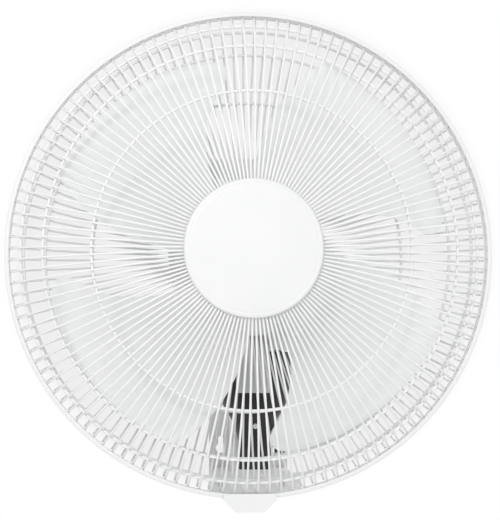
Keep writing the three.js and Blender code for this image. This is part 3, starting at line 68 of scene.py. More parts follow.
BAND_BEHIND = 3 * MM  # from the rim's plane back to the middle of its band
HEAD = middle("rim_band")  # lies on the shaft's line
AXIS_X, AXIS_Z = HEAD.x, HEAD.z
RIM_Y = HEAD.y - BAND_BEHIND  # plane from which depths in the head are counted
RIM_CENTRE = (AXIS_X, RIM_Y, AXIS_Z)
NECK_Y = middle("swivel_pin").y


def depth_range(node):
    """Where a node begins and ends behind the rim's plane."""
    low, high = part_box(node)
    return low.y - RIM_Y, high.y - RIM_Y


def outer_radius(node):
    return extent(node).x / 2


def about_shaft(radius, depth, angle):
    x, z = AXIS_X + radius * math.cos(angle), AXIS_Z + radius * math.sin(angle)
    return Vector((x, RIM_Y + depth, z))


# ---------------------------------------------------------------- camera
# The lens stands left of the shaft and below it, and looks a little up at the rim.
PHOTO_WIDTH = 500  # pixels
FOCAL_PX = 1593.0  # focal length in pixels of the photo
CAMERA_AT = Vector((AXIS_X - 0.0795, RIM_Y - 1.5, AXIS_Z - 0.1088))
AIM = Vector((AXIS_X + 0.0002, RIM_Y, AXIS_Z - 0.0061))

camera_data = bpy.data.cameras.new("camera")
camera_data.sensor_fit = "HORIZONTAL"
camera_data.sensor_width = 36
camera_data.lens = FOCAL_PX / PHOTO_WIDTH * camera_data.sensor_width
camera = bpy.data.objects.new("camera", camera_data)
bpy.context.scene.collection.objects.link(camera)
camera.location = CAMERA_AT
camera.rotation_euler = (AIM - CAMERA_AT).to_track_quat("-Z", "Y").to_euler()
bpy.context.scene.camera = camera


# ---------------------------------------------------------------- mesh helpers
SHARP_ANGLE = math.radians(35)  # edges steeper than this stay sharp


def shade_smooth(mesh):
    for polygon in mesh.polygons:
        polygon.use_smooth = True
    mesh.set_sharp_from_angle(angle=SHARP_ANGLE)


def mesh_object(name, bm):
    bmesh.ops.recalc_face_normals(bm, faces=bm.faces)
    mesh = bpy.data.meshes.new(name)
    bm.to_mesh(mesh)
    bm.free()
    obj = bpy.data.objects.new(name, mesh)
    bpy.context.scene.collection.objects.link(obj)
    return obj


def new_object(name, bm, body, slot, replaces=(), material=None):
    """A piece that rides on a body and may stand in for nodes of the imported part."""
    obj = mesh_object(name, bm)
    obj.data.materials.append(material or MATERIALS[slot])
    shade_smooth(obj.data)
    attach(obj, body)
    if replaces:
        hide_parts(*replaces)
    return obj


def grid_faces(bm, rows, wrap_rows=False, wrap_cols=True):
    """Quads between rows of vertices; a row of one vertex closes to a point."""
    count = len(rows)
    for i in range(count if wrap_rows else count - 1):
        a, b = rows[i], rows[(i + 1) % count]
        if len(a) == 1 and len(b) == 1:
            continue
        n = max(len(a), len(b))
        for j in range(n if wrap_cols else n - 1):
            k = (j + 1) % n
            if len(a) == 1:
                bm.faces.new((a[0], b[k], b[j]))
            elif len(b) == 1:
                bm.faces.new((a[j], a[k], b[0]))
            else:
                bm.faces.new((a[j], a[k], b[k], b[j]))


ON_AXIS = 1e-7  # a smaller radius counts as none


def lathe(bm, profile, centre, axis, segments, closed=False):
    """Turns (radius, height) points about an axis through centre."""
    rows = []
    for radius, height in profile:
        row = []
        for j in range(1 if radius < ON_AXIS else segments):
            a = TAU * j / segments
            u, v = radius * math.cos(a), radius * math.sin(a)
            place = {"Y": (u, height, v), "Z": (u, v, height), "X": (height, u, v)}[axis]
            row.append(bm.verts.new(Vector(place) + Vector(centre)))
        rows.append(row)
    grid_faces(bm, rows, wrap_rows=closed)


EASE_SHARE = 0.45  # of a side, at most, goes to the rounding at either end


def rounded(profile, radius, steps=4, closed=False):
    """A profile with its corners eased, but for the two ends of an open one."""
    count = len(profile)
    out = []
    for i, (r, h) in enumerate(profile):
        if not closed and i in (0, count - 1):
            out.append((r, h))
            continue
        before = Vector(profile[(i - 1) % count]) - Vector((r, h))
        after = Vector(profile[(i + 1) % count]) - Vector((r, h))
        ease = min(radius, before.length * EASE_SHARE, after.length * EASE_SHARE)
        start = Vector((r, h)) + before.normalized() * ease
        end = Vector((r, h)) + after.normalized() * ease
        for k in range(steps + 1):
            t = k / steps
            p = start * (1 - t) ** 2 + Vector((r, h)) * 2 * t * (1 - t) + end * t**2
            out.append((p.x, p.y))
    return out


def tube(bm, points, radius, sides=8):
    """A round wire along a polyline, closed at both ends by low points."""
    rows = []
    count = len(points)
    side = None
    for i, p in enumerate(points):
        ahead = points[min(i + 1, count - 1)] - points[max(i - 1, 0)]
        ahead.normalize()
        if side is None:
            side = ahead.orthogonal().normalized()
        side = (side - ahead * side.dot(ahead)).normalized()
        up = ahead.cross(side)
        row = []
        for k in range(sides):
            a = TAU * k / sides
            row.append(bm.verts.new(p + (side * math.cos(a) + up * math.sin(a)) * radius))
        rows.append(row)
    point = radius * 0.6
    first = points[0] - (points[1] - points[0]).normalized() * point
    last = points[-1] + (points[-1] - points[-2]).normalized() * point
    grid_faces(bm, [[bm.verts.new(first)], *rows, [bm.verts.new(last)]])


def smooth_path(points, steps):
    """A curve through (u, v) points, evenly stepped between them."""
    out = []
    for i in range(len(points) - 1):
        p0 = Vector(points[max(i - 1, 0)])
        p1, p2 = Vector(points[i]), Vector(points[i + 1])
        p3 = Vector(points[min(i + 2, len(points) - 1)])
        for k in range(steps):
            t = k / steps
            a = 2 * p1
            b = (p2 - p0) * t
            c = (2 * p0 - 5 * p1 + 4 * p2 - p3) * t * t
            d = (3 * p1 - p0 - 3 * p2 + p3) * t**3
            out.append((a + b + c + d) / 2)
    out.append(Vector(points[-1]))
    return out


BOX_SIDES = ((0, 1, 3, 2), (4, 6, 7, 5), (0, 4, 5, 1), (2, 3, 7, 6), (0, 2, 6, 4), (1, 5, 7, 3))


def box_faces(bm, corners):
    for side in BOX_SIDES:
        bm.faces.new([corners[k] for k in side])


def add_box(bm, low, high):
    xs, ys, zs = zip(low, high)
    box_faces(bm, [bm.verts.new((x, y, z)) for x in xs for y in ys for z in zs])


def drill(obj, centre, axis, radius, length):
    """Cuts a round hole through a piece."""
    bm = bmesh.new()
    half = length / 2
    lathe(bm, [(0, -half), (radius, -half), (radius, half), (0, half)], centre, axis, 48)
    combine(obj, bm)


def combine(obj, bm, operation="DIFFERENCE"):
    """Cuts a shape out of a piece, or joins it on."""
    cutter = mesh_object("cutter", bm)
    modifier = obj.modifiers.new("cut", "BOOLEAN")
    modifier.operation = operation
    modifier.solver = "EXACT"
    modifier.object = cutter
    bpy.context.view_layer.update()
    graph = bpy.context.evaluated_depsgraph_get()
    done = bpy.data.meshes.new_from_object(obj.evaluated_get(graph))
    obj.modifiers.remove(modifier)
    old = obj.data
    obj.data = done
    bpy.data.meshes.remove(old)
    cutter_mesh = cutter.data
    bpy.data.objects.remove(cutter)
    bpy.data.meshes.remove(cutter_mesh)


SAME_PLACE = 2e-6
SAME_PLANE = math.radians(0.6)
BEVEL_ANGLE = math.radians(28)


def refined(name, node, width, raised_below):
    """A copy of a node with its coplanar faces joined and its edges rounded."""
    bm = bmesh.new()
    bm.from_mesh(NODES[node].data)
    bmesh.ops.remove_doubles(bm, verts=bm.verts, dist=SAME_PLACE)
    bmesh.ops.dissolve_limit(bm, angle_limit=SAME_PLANE, verts=bm.verts, edges=bm.edges)
    if raised_below is not None:
        for v in bm.verts:
            if v.co.z < raised_below:
                v.co.z += FLOOR_RISE
    body = next(body for body, held in BODIES.items() if node in held)
    obj = new_object(name, bm, body, SLOTS[node], (node,))
    bevel = obj.modifiers.new("edges", "BEVEL")
    bevel.width = width
    bevel.segments = 2
    bevel.limit_method = "ANGLE"
    bevel.angle_limit = BEVEL_ANGLE
    bevel.harden_normals = True


# ---------------------------------------------------------------- materials
def node_material(name):
    material = bpy.data.materials.new(name)
    material.use_nodes = True
    tree = material.node_tree
    return material, tree, tree.nodes["Principled BSDF"]


def coords(tree, scale=(1, 1, 1)):
    source = tree.nodes.new("ShaderNodeTexCoord")
    mapping = tree.nodes.new("ShaderNodeMapping")
    mapping.inputs["Scale"].default_value = scale
    tree.links.new(source.outputs["Object"], mapping.inputs["Vector"])
    return mapping.outputs["Vector"]


def noise(tree, vector, scale, detail=3.0, roughness=0.5):
    node = tree.nodes.new("ShaderNodeTexNoise")
    node.inputs["Scale"].default_value = scale
    node.inputs["Detail"].default_value = detail
    node.inputs["Roughness"].default_value = roughness
    tree.links.new(vector, node.inputs["Vector"])
    return node.outputs["Fac"]


NOISE_RANGE = (0.3, 0.7)  # most of what a noise gives lies in it


def spread(tree, value, low, high):
    """Maps a noise value onto a range of numbers."""
    node = tree.nodes.new("ShaderNodeMapRange")
    node.inputs["From Min"].default_value = NOISE_RANGE[0]
    node.inputs["From Max"].default_value = NOISE_RANGE[1]
    node.inputs["To Min"].default_value = low
    node.inputs["To Max"].default_value = high
    tree.links.new(value, node.inputs["Value"])
    return node.outputs["Result"]


def two_tone(tree, value, first, second):
    node = tree.nodes.new("ShaderNodeMix")
    node.data_type = "RGBA"
    node.inputs["A"].default_value = (*first, 1)
    node.inputs["B"].default_value = (*second, 1)
    tree.links.new(value, node.inputs["Factor"])
    return node.outputs["Result"]


def bump(tree, shader, value, strength, distance):
    node = tree.nodes.new("ShaderNodeBump")
    node.inputs["Strength"].default_value = strength
    node.inputs["Distance"].default_value = distance
    tree.links.new(value, node.inputs["Height"])
    tree.links.new(node.outputs["Normal"], shader.inputs["Normal"])


CLOUD_SCALE = 22  # of the plastic's tone
GLOSS_SCALE = 140  # of its roughness


def moulded(name, light, dark, rough, grain=2600, depth=0.00004, strength=0.25, coat=0.0):
    """Moulded plastic: a cloudy tone, a fine grain and an uneven gloss."""
    material, tree, shader = node_material(name)
    place = coords(tree)
    cloud = noise(tree, place, CLOUD_SCALE, 4)
    tone = two_tone(tree, spread(tree, cloud, 0, 1), dark, light)
    tree.links.new(tone, shader.inputs["Base Color"])
    gloss = noise(tree, place, GLOSS_SCALE, 3)
    tree.links.new(spread(tree, gloss, rough - 0.05, rough + 0.06), shader.inputs["Roughness"])
    bump(tree, shader, noise(tree, place, grain, 2), strength, depth)
    shader.inputs["Coat Weight"].default_value = coat
    shader.inputs["Coat Roughness"].default_value = 0.25
    return material


def metal(name, light, dark, rough, stretch=(1, 1, 1), scale=900, strength=0.2, metallic=1.0):
    """Bare metal with drawn or cast streaks."""
    material, tree, shader = node_material(name)
    place = coords(tree, stretch)
    streak = noise(tree, place, scale, 3)
    tone = two_tone(tree, spread(tree, streak, 0, 1), dark, light)
    tree.links.new(tone, shader.inputs["Base Color"])
    tree.links.new(spread(tree, streak, rough - 0.08, rough + 0.1), shader.inputs["Roughness"])
    shader.inputs["Metallic"].default_value = metallic
    bump(tree, shader, streak, strength, 0.00005)
    return material


def banded(name, light, dark, rough, per_metre, direction, metallic):
    """Stacked sheets or wound wire: fine bands across one direction."""
    material, tree, shader = node_material(name)
    place = coords(tree)
    wave = tree.nodes.new("ShaderNodeTexWave")
    wave.bands_direction = direction
    wave.inputs["Scale"].default_value = per_metre
    wave.inputs["Distortion"].default_value = 0.6
    wave.inputs["Detail"].default_value = 2
    tree.links.new(place, wave.inputs["Vector"])
    band = wave.outputs["Fac"]
    tree.links.new(two_tone(tree, band, dark, light), shader.inputs["Base Color"])
    tree.links.new(spread(tree, band, rough + 0.1, rough - 0.05), shader.inputs["Roughness"])
    shader.inputs["Metallic"].default_value = metallic
    bump(tree, shader, band, 0.5, 0.0002)
    return material


BLADE_GLOW = 0.4  # share of the light that a blade scatters through
BLADE_CLEAR = 0.18  # share that passes straight through


def blade_material():
    """Thin pale moulding that lets some light and a hint of what lies behind through."""
    light, dark = (0.96, 0.962, 0.96), (0.945, 0.948, 0.947)
    material = moulded("blade_moulding", light, dark, 0.55, 1900, 0.00003, 0.2)
    tree = material.node_tree
    shader = tree.nodes["Principled BSDF"]
    glow = tree.nodes.new("ShaderNodeBsdfTranslucent")
    glow.inputs["Color"].default_value = (0.93, 0.935, 0.94, 1)
    clear = tree.nodes.new("ShaderNodeBsdfTransparent")
    thin = tree.nodes.new("ShaderNodeMixShader")
    thin.inputs["Fac"].default_value = BLADE_GLOW
    tree.links.new(shader.outputs["BSDF"], thin.inputs[1])
    tree.links.new(glow.outputs["BSDF"], thin.inputs[2])
    hint = tree.nodes.new("ShaderNodeMixShader")
    hint.inputs["Fac"].default_value = BLADE_CLEAR
    tree.links.new(thin.outputs["Shader"], hint.inputs[1])
    tree.links.new(clear.outputs["BSDF"], hint.inputs[2])
    tree.links.new(hint.outputs["Shader"], tree.nodes["Material Output"].inputs["Surface"])
    return material


MATERIALS = {
    "white_wire": moulded(
        "coated_wire", (0.87, 0.873, 0.873), (0.84, 0.845, 0.847), 0.42, 1500, 0.00006, 0.3, 0.3
    ),
    "white_plastic": moulded("white_moulding", (0.79, 0.793, 0.792), (0.765, 0.77, 0.769), 0.42),
    "grey_plastic": moulded("grey_moulding", (0.66, 0.665, 0.668), (0.62, 0.625, 0.63), 0.45),
    "blade_plastic": blade_material(),
    "black_plastic": moulded(
        "black_moulding", (0.012, 0.0125, 0.013), (0.006, 0.0062, 0.0065), 0.4, 1700, 0.00008, 0.4
    ),
    "steel": metal("drawn_steel", (0.62, 0.625, 0.63), (0.48, 0.485, 0.49), 0.28, (1, 0.05, 1)),
    "cast_metal": metal(
        "cast_alloy", (0.52, 0.53, 0.54), (0.42, 0.43, 0.44), 0.52, scale=500, strength=0.4
    ),
    "lamination": banded(
        "stacked_sheets", (0.2, 0.205, 0.21), (0.05, 0.052, 0.055), 0.5, 320, "Y", 0.8
    ),
    "copper": banded("wound_wire", (0.62, 0.24, 0.09), (0.26, 0.08, 0.03), 0.35, 260, "Y", 0.9),
    "bronze": metal(
        "sintered_bronze", (0.5, 0.3, 0.12), (0.36, 0.2, 0.07), 0.5, scale=1500, strength=0.4
    ),
    "nylon": moulded("natural_nylon", (0.78, 0.76, 0.68), (0.72, 0.70, 0.62), 0.45),
}
for node, slot in SLOTS.items():
    NODES[node].data.materials.clear()
    NODES[node].data.materials.append(MATERIALS[slot])
# Painted shade: the rear cage's wire is the front's coated wire made darker, standing for the
# shadow the front cage and covers cast on it
SHADED_REAR_WIRE = moulded(
    "rear_wire_painted_shade", (0.77, 0.775, 0.777), (0.73, 0.736, 0.74), 0.4, 1500, 0.00006, 0.3
)


# ---------------------------------------------------------------- guard
SPOKES = 128
SPOKE_RADIUS = 1.0 * MM
HOOP_RADIUS = 1.4 * MM
HOOP_SIDES = 10
FIRST_SPOKE = TAU * 0.5 / SPOKES
ON_SPOKE = 2e-4  # radians
FRONT_TURN = math.radians(0.5)  # the front cage sits turned a little against the rear one


def ring_vertices(node):
    """A node's vertices as (radius, depth, angle) about the shaft."""
    out = []
    for v in NODES[node].data.vertices:
        x, z = v.co.x - AXIS_X, v.co.z - AXIS_Z
        out.append((math.hypot(x, z), v.co.y - RIM_Y, math.atan2(z, x) % TAU))
    return out


def cage(name, node, turn, material=None):
    """Radial wires that grow out of a flat seat ring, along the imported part's first wire."""
    points = ring_vertices(node)
    first_spoke = [(r, d) for r, d, a in points if abs(a - FIRST_SPOKE) < ON_SPOKE]
    seat_inner = min(r for r, d, a in points)
    seat_depths = [d for r, d, a in points if r < seat_inner + 0.1 * MM]
    seat_depth = (min(seat_depths) + max(seat_depths)) / 2
    seat_outer = min(r for r, d in first_spoke if r > seat_inner + 1 * MM)
    line = [(seat_outer - 3 * MM, seat_depth)]
    for r, d in sorted(p for p in first_spoke if p[0] > seat_outer - 2 * MM):
        if r - line[-1][0] > 6 * MM:
            line.append((r, d + SPOKE_RADIUS))
    curve = smooth_path(line, 4)
    bm = bmesh.new()
    for i in range(SPOKES):
        a = TAU * (i + 0.5) / SPOKES + turn
        tube(bm, [about_shaft(p.x, p.y, a) for p in curve], SPOKE_RADIUS)
    front, back = seat_depth - SPOKE_RADIUS, seat_depth + SPOKE_RADIUS
    plate = [(seat_inner, front), (seat_outer, front), (seat_outer, back), (seat_inner, back)]
    lathe(bm, rounded(plate, 0.5 * MM, closed=True), RIM_CENTRE, "Y", 128, closed=True)
    new_object(name, bm, "head", "white_wire", (node,), material)


def hoop(name, node, material=None):
    points = ring_vertices(node)
    radius = sum(p[0] for p in points) / len(points)
    depth = sum(p[1] for p in points) / len(points)
    turns = [TAU * k / HOOP_SIDES for k in range(HOOP_SIDES)]
    section = [
        (radius + HOOP_RADIUS * math.cos(t), depth + HOOP_RADIUS * math.sin(t)) for t in turns
    ]
    bm = bmesh.new()
    lathe(bm, section, RIM_CENTRE, "Y", 192, closed=True)
    new_object(name, bm, "head", "white_wire", (node,), material)


cage("front_wires", "front_guard_spokes", FRONT_TURN)
# the rear cage and its hoops wear the darker copy of the wire, painted shade
cage("rear_wires", "rear_guard_spokes", 0, SHADED_REAR_WIRE)
for side, material in (("front", None), ("rear", SHADED_REAR_WIRE)):
    for place in ("inner", "middle", "outer"):
        hoop(f"{side}_hoop_{place}", f"{side}_guard_ring_{place}", material)


def band():
    front, back = depth_range("rim_band")
    outer = outer_radius("rim_band")
    wall, lip = 1.5 * MM, 4 * MM
    profile = [
        (outer - lip, front),
        (outer, front),
        (outer, back),
        (outer - lip, back),
        (outer - lip, back - wall),
        (outer - wall, back - wall),
        (outer - wall, front + wall),
        (outer - lip, front + wall),
    ]
    bm = bmesh.new()
    lathe(bm, rounded(profile, 0.9 * MM, 3, closed=True), RIM_CENTRE, "Y", 256, closed=True)
    new_object("rim", bm, "head", "white_plastic", ("rim_band",))


def disc():
    """The bare hub disc: a shallow dome inside a fine raised ring, hollow behind."""
    front, back = depth_range("hub_disc")
    edge = outer_radius("hub_disc")
    profile = [
        (0, back - 1.6 * MM),
        (edge * 0.72, back - 1.6 * MM),
        (edge * 0.75, back),
        (edge - 1 * MM, back),
        (edge, back - 1.2 * MM),
        (edge - 0.3 * MM, front + 2.0 * MM),
        (edge - 1.2 * MM, front + 0.9 * MM),
        (edge - 3.4 * MM, front + 0.5 * MM),
        (edge - 4.6 * MM, front + 0.75 * MM),
        (edge - 5.8 * MM, front + 0.4 * MM),
        (edge * 0.6, front + 0.12 * MM),
        (edge * 0.3, front + 0.02 * MM),
        (0, front),
    ]
    bm = bmesh.new()
    lathe(bm, rounded(profile, 0.5 * MM, 3), RIM_CENTRE, "Y", 160)
    new_object("hub_face", bm, "head", "white_plastic", ("hub_disc",))


band()
disc()


# ---------------------------------------------------------------- impeller
# Each edge is a table of (share of the way from hub to tip, degrees about the shaft).
LEADING_EDGE = (
    (0, 36), (0.15, 29), (0.3, 25), (0.4, 22.8), (0.54, 19), (0.68, 14.6),
    (0.77, 10.9), (0.855, 7.5), (0.9, 6.7), (0.955, 7.5), (0.985, 9.4), (1, 12.7),
)
TRAILING_EDGE = (
    (0, 94), (0.15, 91), (0.28, 87.4), (0.47, 83.6), (0.59, 80.8),
    (0.71, 77.8), (0.84, 74), (0.9, 72.4), (0.96, 70.2), (1, 68.2),
)
BLADES = 4
BLADE_SPAN_STEPS = 40
BLADE_CHORD_STEPS = 28
BLADE_THICKNESS = 2.4 * MM
TIP_ROUNDING = 2.2 * MM
HUB_RADIUS = 44 * MM
HUB_CORNER = 7 * MM
HUB_WALL = 3 * MM
BOSS_RADIUS = 11 * MM
BOSS_BORE = 4.3 * MM
RIBS = 8
RIB_HALF = 0.9 * MM


def edge_at(edge, share):
    """A smooth reading of an edge table."""
    i = next(k for k in range(1, len(edge)) if edge[k][0] >= share - 1e-9)
    x0, y0 = edge[i - 1]
    x1, y1 = edge[i]
    before = edge[max(i - 2, 0)]
    after = edge[min(i + 1, len(edge) - 1)]
    span = x1 - x0
    m0 = (y1 - before[1]) / (x1 - before[0]) * span
    m1 = (after[1] - y0) / (after[0] - x0) * span
    t = (share - x0) / span
    return (
        (2 * t**3 - 3 * t**2 + 1) * y0
        + (t**3 - 2 * t**2 + t) * m0
        + (3 * t**2 - 2 * t**3) * y1
        + (t**3 - t**2) * m1
    )


def blade_sheet(bm, first_angle, tip, leading, trailing, side):
    """The front (side -1) or back (side 1) skin of one blade, as rows from hub to tip."""
    root = HUB_RADIUS - 1.5 * MM
    rows = []
    for i in range(BLADE_SPAN_STEPS + 1):
        share = (i / BLADE_SPAN_STEPS) ** 0.8
        radius = root + (tip - root) * share
        start, end = edge_at(LEADING_EDGE, share), edge_at(TRAILING_EDGE, share)
        inside = min(1.0, (1 - share) * (tip - root) / TIP_ROUNDING)
        round_tip = math.sqrt(max(0.0, 1 - (1 - inside) ** 2)) * 0.85 + 0.15
        row = []
        for j in range(BLADE_CHORD_STEPS + 1):
            s = (1 - math.cos(math.pi * j / BLADE_CHORD_STEPS)) / 2
            a = math.radians(start + (end - start) * s) + first_angle
            depth = leading + (trailing - leading) * (0.72 * s + 0.28 * s * s)
            belly = 0.3 + 0.7 * math.sin(math.pi * s) ** 0.7
            half = BLADE_THICKNESS / 2 * belly * round_tip
            row.append(bm.verts.new(about_shaft(radius, depth + side * half, a)))
        rows.append(row)
    grid_faces(bm, rows, wrap_cols=False)
    return rows


def outline(rows):
    """The loop of vertices round a sheet's edge."""
    far_side = [row[-1] for row in rows[1:]]
    near_side = [row[0] for row in rows[-2:0:-1]]
    return rows[0] + far_side + rows[-1][-2::-1] + near_side


def impeller():
    front, back = depth_range("impeller")
    tip = max(radius for radius, depth, angle in ring_vertices("impeller"))
    leading, trailing = back - 2 * MM, front + 10 * MM
    bm = bmesh.new()
    for b in range(BLADES):
        sheets = [
            blade_sheet(bm, TAU * b / BLADES, tip, leading, trailing, side) for side in (-1, 1)
        ]
        grid_faces(bm, [outline(sheet) for sheet in sheets])
    inner_corner = HUB_CORNER + 1 * MM
    shell = [
        (BOSS_RADIUS, front),
        (HUB_RADIUS - HUB_CORNER, front),
        (HUB_RADIUS, front + HUB_CORNER),
        (HUB_RADIUS, back),
        (HUB_RADIUS - HUB_WALL, back),
        (HUB_RADIUS - HUB_WALL, front + inner_corner),
        (HUB_RADIUS - inner_corner, front + HUB_WALL),
        (BOSS_RADIUS, front + HUB_WALL),
    ]
    lathe(bm, rounded(shell, 4 * MM, 6, closed=True), RIM_CENTRE, "Y", 128, closed=True)
    boss_end = front + 42 * MM
    boss = [
        (BOSS_BORE, front),
        (BOSS_RADIUS + 1 * MM, front),
        (BOSS_RADIUS, boss_end),
        (BOSS_BORE, boss_end),
    ]
    lathe(bm, rounded(boss, 1 * MM, 3, closed=True), RIM_CENTRE, "Y", 64, closed=True)
    for k in range(RIBS):
        rib(bm, TAU * (k + 0.5) / RIBS, front + HUB_WALL, front + 24 * MM)
    new_object("fan_blades", bm, "rotor", "blade_plastic", ("impeller",))


def rib(bm, angle, front, back):
    """A thin radial web inside the hub, from the boss to the wall."""
    sunk = 0.5 * MM  # into what it joins
    out = Vector((math.cos(angle), 0, math.sin(angle)))
    across = Vector((-math.sin(angle), 0, math.cos(angle))) * RIB_HALF
    corners = []
    for radius in (BOSS_RADIUS - sunk, HUB_RADIUS - HUB_WALL + sunk):
        for depth in (front - sunk, back):
            for side in (-1, 1):
                place = Vector((AXIS_X, RIM_Y + depth, AXIS_Z)) + out * radius + across * side
                corners.append(bm.verts.new(place))
    box_faces(bm, corners)


def spinner():
    """The cap nut on the shaft's end, with flutes round its side."""
    front, back = depth_range("blade_nut")
    radius = outer_radius("blade_nut")
    flutes, flute_depth = 20, 0.5 * MM
    steps = 120
    shoulder = (radius - 1 * MM, front + 3 * MM)
    profile = [(0, front), (radius - 5 * MM, front), shoulder, (radius, back), (0, back)]
    bm = bmesh.new()
    rows = []
    for r, depth in rounded(profile, 1.4 * MM):
        row = []
        for j in range(1 if r < ON_AXIS else steps):
            a = TAU * j / steps
            grip = flute_depth * (0.5 + 0.5 * math.cos(flutes * a)) * min(1, r / radius) ** 8
            row.append(bm.verts.new(about_shaft(r - grip, depth, a)))
        rows.append(row)
    grid_faces(bm, rows)
    new_object("blade_cap", bm, "rotor", "white_plastic", ("blade_nut",))


impeller()
spinner()


# ---------------------------------------------------------------- motor covers
COVER_WALL = 2.5 * MM
FRONT_CORNER = 4 * MM
SHAFT_HOLE = 14.9 * MM
CROWN_HALF_WIDTH = 46 * MM
CROWN_LENGTH = 50 * MM
CROWN_ROUNDING = 10 * MM  # of its back edge
CROWN_FALL = 26 * MM  # of its top over that edge
DRUM_TAPER = 12 * MM
COVER_SEGMENTS = 192
# The back face, out from the drum's rounded edge: (share of the flat's radius, depth of groove).
BACK_FACE = (
    (0.94, 0), (0.93, 0.5), (0.9, 0.5), (0.89, 0), (0.6, 0), (0.59, 0.5), (0.55, 0.5),
    (0.54, 0), (0.3, 0), (0.29, 0.5), (0.25, 0.5), (0.24, 0), (0, 0),
)


def front_cover():
    front, back = depth_range("motor_front_cover")
    radius = outer_radius("motor_front_cover")
    inner_corner = FRONT_CORNER + 1 * MM
    profile = [
        (SHAFT_HOLE, front),
        (radius - FRONT_CORNER, front),
        (radius, front + FRONT_CORNER),
        (radius, back),
        (radius - COVER_WALL, back),
        (radius - COVER_WALL, front + inner_corner),
        (radius - inner_corner, front + COVER_WALL),
        (SHAFT_HOLE, front + COVER_WALL),
    ]
    bm = bmesh.new()
    lathe(bm, rounded(profile, 3.2 * MM, 5, closed=True), RIM_CENTRE, "Y", 144, closed=True)
    new_object("cover_front", bm, "head", "white_plastic", ("motor_front_cover",))


def soft_min(a, b, ease):
    h = max(ease - abs(a - b), 0) / ease
    return min(a, b) - h * h * ease / 4


def soft_max(a, b, ease):
    return -soft_min(-a, -b, ease)


def rear_cover():
    """The drum with a raised crown on its front part, hollow, and its holes."""
    front, back = depth_range("motor_rear_cover")
    drum = outer_radius("motor_rear_cover")
    crown_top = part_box("motor_rear_cover")[1].z - AXIS_Z
    crown_edge = front + CROWN_LENGTH - CROWN_ROUNDING  # where the crown starts to fall
    taper_start = back - DRUM_TAPER

    def reach(angle, depth, inset):
        c, s = math.cos(angle), math.sin(angle)
        into = max(0.0, depth - taper_start)
        fall = DRUM_TAPER - math.sqrt(max(0.0, DRUM_TAPER**2 - into**2))
        radius = drum - inset - fall
        crown = 0.0
        if s > 0.2:
            fade = max(0.0, (depth - crown_edge) / CROWN_ROUNDING)
            if fade < 1:
                top = crown_top - inset - CROWN_FALL * (1 - math.sqrt(1 - fade**2))
                side = (CROWN_HALF_WIDTH - inset) / max(abs(c), 1e-6)
                crown = soft_min(top / s, side, 16 * MM)
        return soft_max(radius, crown, 3 * MM) if crown > radius - 6 * MM else radius

    def ring(bm, depth, radius_at):
        turns = [TAU * j / COVER_SEGMENTS for j in range(COVER_SEGMENTS)]
        return [bm.verts.new(about_shaft(radius_at(a), depth, a)) for a in turns]

    lip = front + 0.2 * MM
    crown_end = front + CROWN_LENGTH
    run = taper_start - crown_end - 4 * MM
    depths = [lip]
    depths += [front + k * 4 * MM for k in range(1, 10)]
    depths += [crown_edge + CROWN_ROUNDING * math.sin(math.pi / 2 * k / 6) for k in range(7)]
    depths += [crown_end + 2 * MM + k * run / 6 for k in range(7)]
    depths += [taper_start + DRUM_TAPER * math.sin(math.pi / 2 * k / 8) for k in range(9)]
    bm = bmesh.new()
    outer_rows = [ring(bm, depth, lambda a: reach(a, depth, 0)) for depth in depths]
    for share, groove in BACK_FACE:
        depth, radius = back - groove * MM, (drum - DRUM_TAPER) * share
        if share:
            outer_rows.append(ring(bm, depth, lambda a: radius))
        else:
            outer_rows.append([bm.verts.new(about_shaft(0, depth, 0))])
    inner_rows = [  # the mouth is round, so that the crown's front is closed
        ring(bm, depth, lambda a: drum - COVER_WALL) for depth in (lip, front + COVER_WALL)
    ]
    inner_depths = [front + COVER_WALL + 0.1 * MM]
    inner_depths += [depth for depth in depths if depth > front + COVER_WALL + 1 * MM]
    for depth in inner_depths:
        floor_side = COVER_WALL if depth > taper_start else 0
        inner_rows.append(ring(bm, depth - floor_side, lambda a: reach(a, depth, COVER_WALL)))
    inner_rows.append([bm.verts.new(about_shaft(0, back - COVER_WALL, 0))])
    grid_faces(bm, outer_rows)
    grid_faces(bm, inner_rows)
    grid_faces(bm, [outer_rows[0], inner_rows[0]])
    obj = new_object("cover_rear", bm, "head", "white_plastic", ("motor_rear_cover",))
    pin, crank, knob = middle("swivel_pin"), middle("oscillation_crank"), middle("oscillation_knob")
    below, above = AXIS_Z - 60 * MM, AXIS_Z + 60 * MM
    drill(obj, (pin.x, pin.y, below), "Z", 17 * MM, 50 * MM)
    drill(obj, (AXIS_X, crank.y, below), "Z", 5.5 * MM, 50 * MM)
    drill(obj, (knob.x, knob.y, above), "Z", 3 * MM, 60 * MM)


SKIRT_FOOT = 107.6 * MM  # above the mount's middle
SKIRT_RADIUS = 37 * MM
SKIRT_WALL = 2 * MM
SKIRT_DRAFT = 1 * MM
SKIRT_START = -172  # degrees about the swivel pin
SKIRT_SWEEP = 164
SKIRT_STEPS = 64


def swivel_skirt():
    """The curved apron of the rear cover that hides the crank and link from the front."""
    pin = middle("swivel_pin")
    top = AXIS_Z - outer_radius("motor_front_cover") + 5 * MM
    outer, inner = SKIRT_RADIUS, SKIRT_RADIUS - SKIRT_WALL
    corners = [
        (inner, SKIRT_FOOT),
        (outer, SKIRT_FOOT),
        (outer - SKIRT_DRAFT, top),
        (inner - SKIRT_DRAFT, top),
    ]
    section = rounded(corners, 0.6 * MM, 3, closed=True)
    bm = bmesh.new()
    rows = []
    for k in range(SKIRT_STEPS + 1):
        a = math.radians(SKIRT_START + SKIRT_SWEEP * k / SKIRT_STEPS)
        c, s = math.cos(a), math.sin(a)
        rows.append([bm.verts.new((pin.x + r * c, pin.y + r * s, z)) for r, z in section])
    grid_faces(bm, rows)
    for row in (rows[0], rows[-1]):
        bm.faces.new(row)
    new_object("cover_skirt", bm, "head", "white_plastic")


front_cover()
rear_cover()
swivel_skirt()


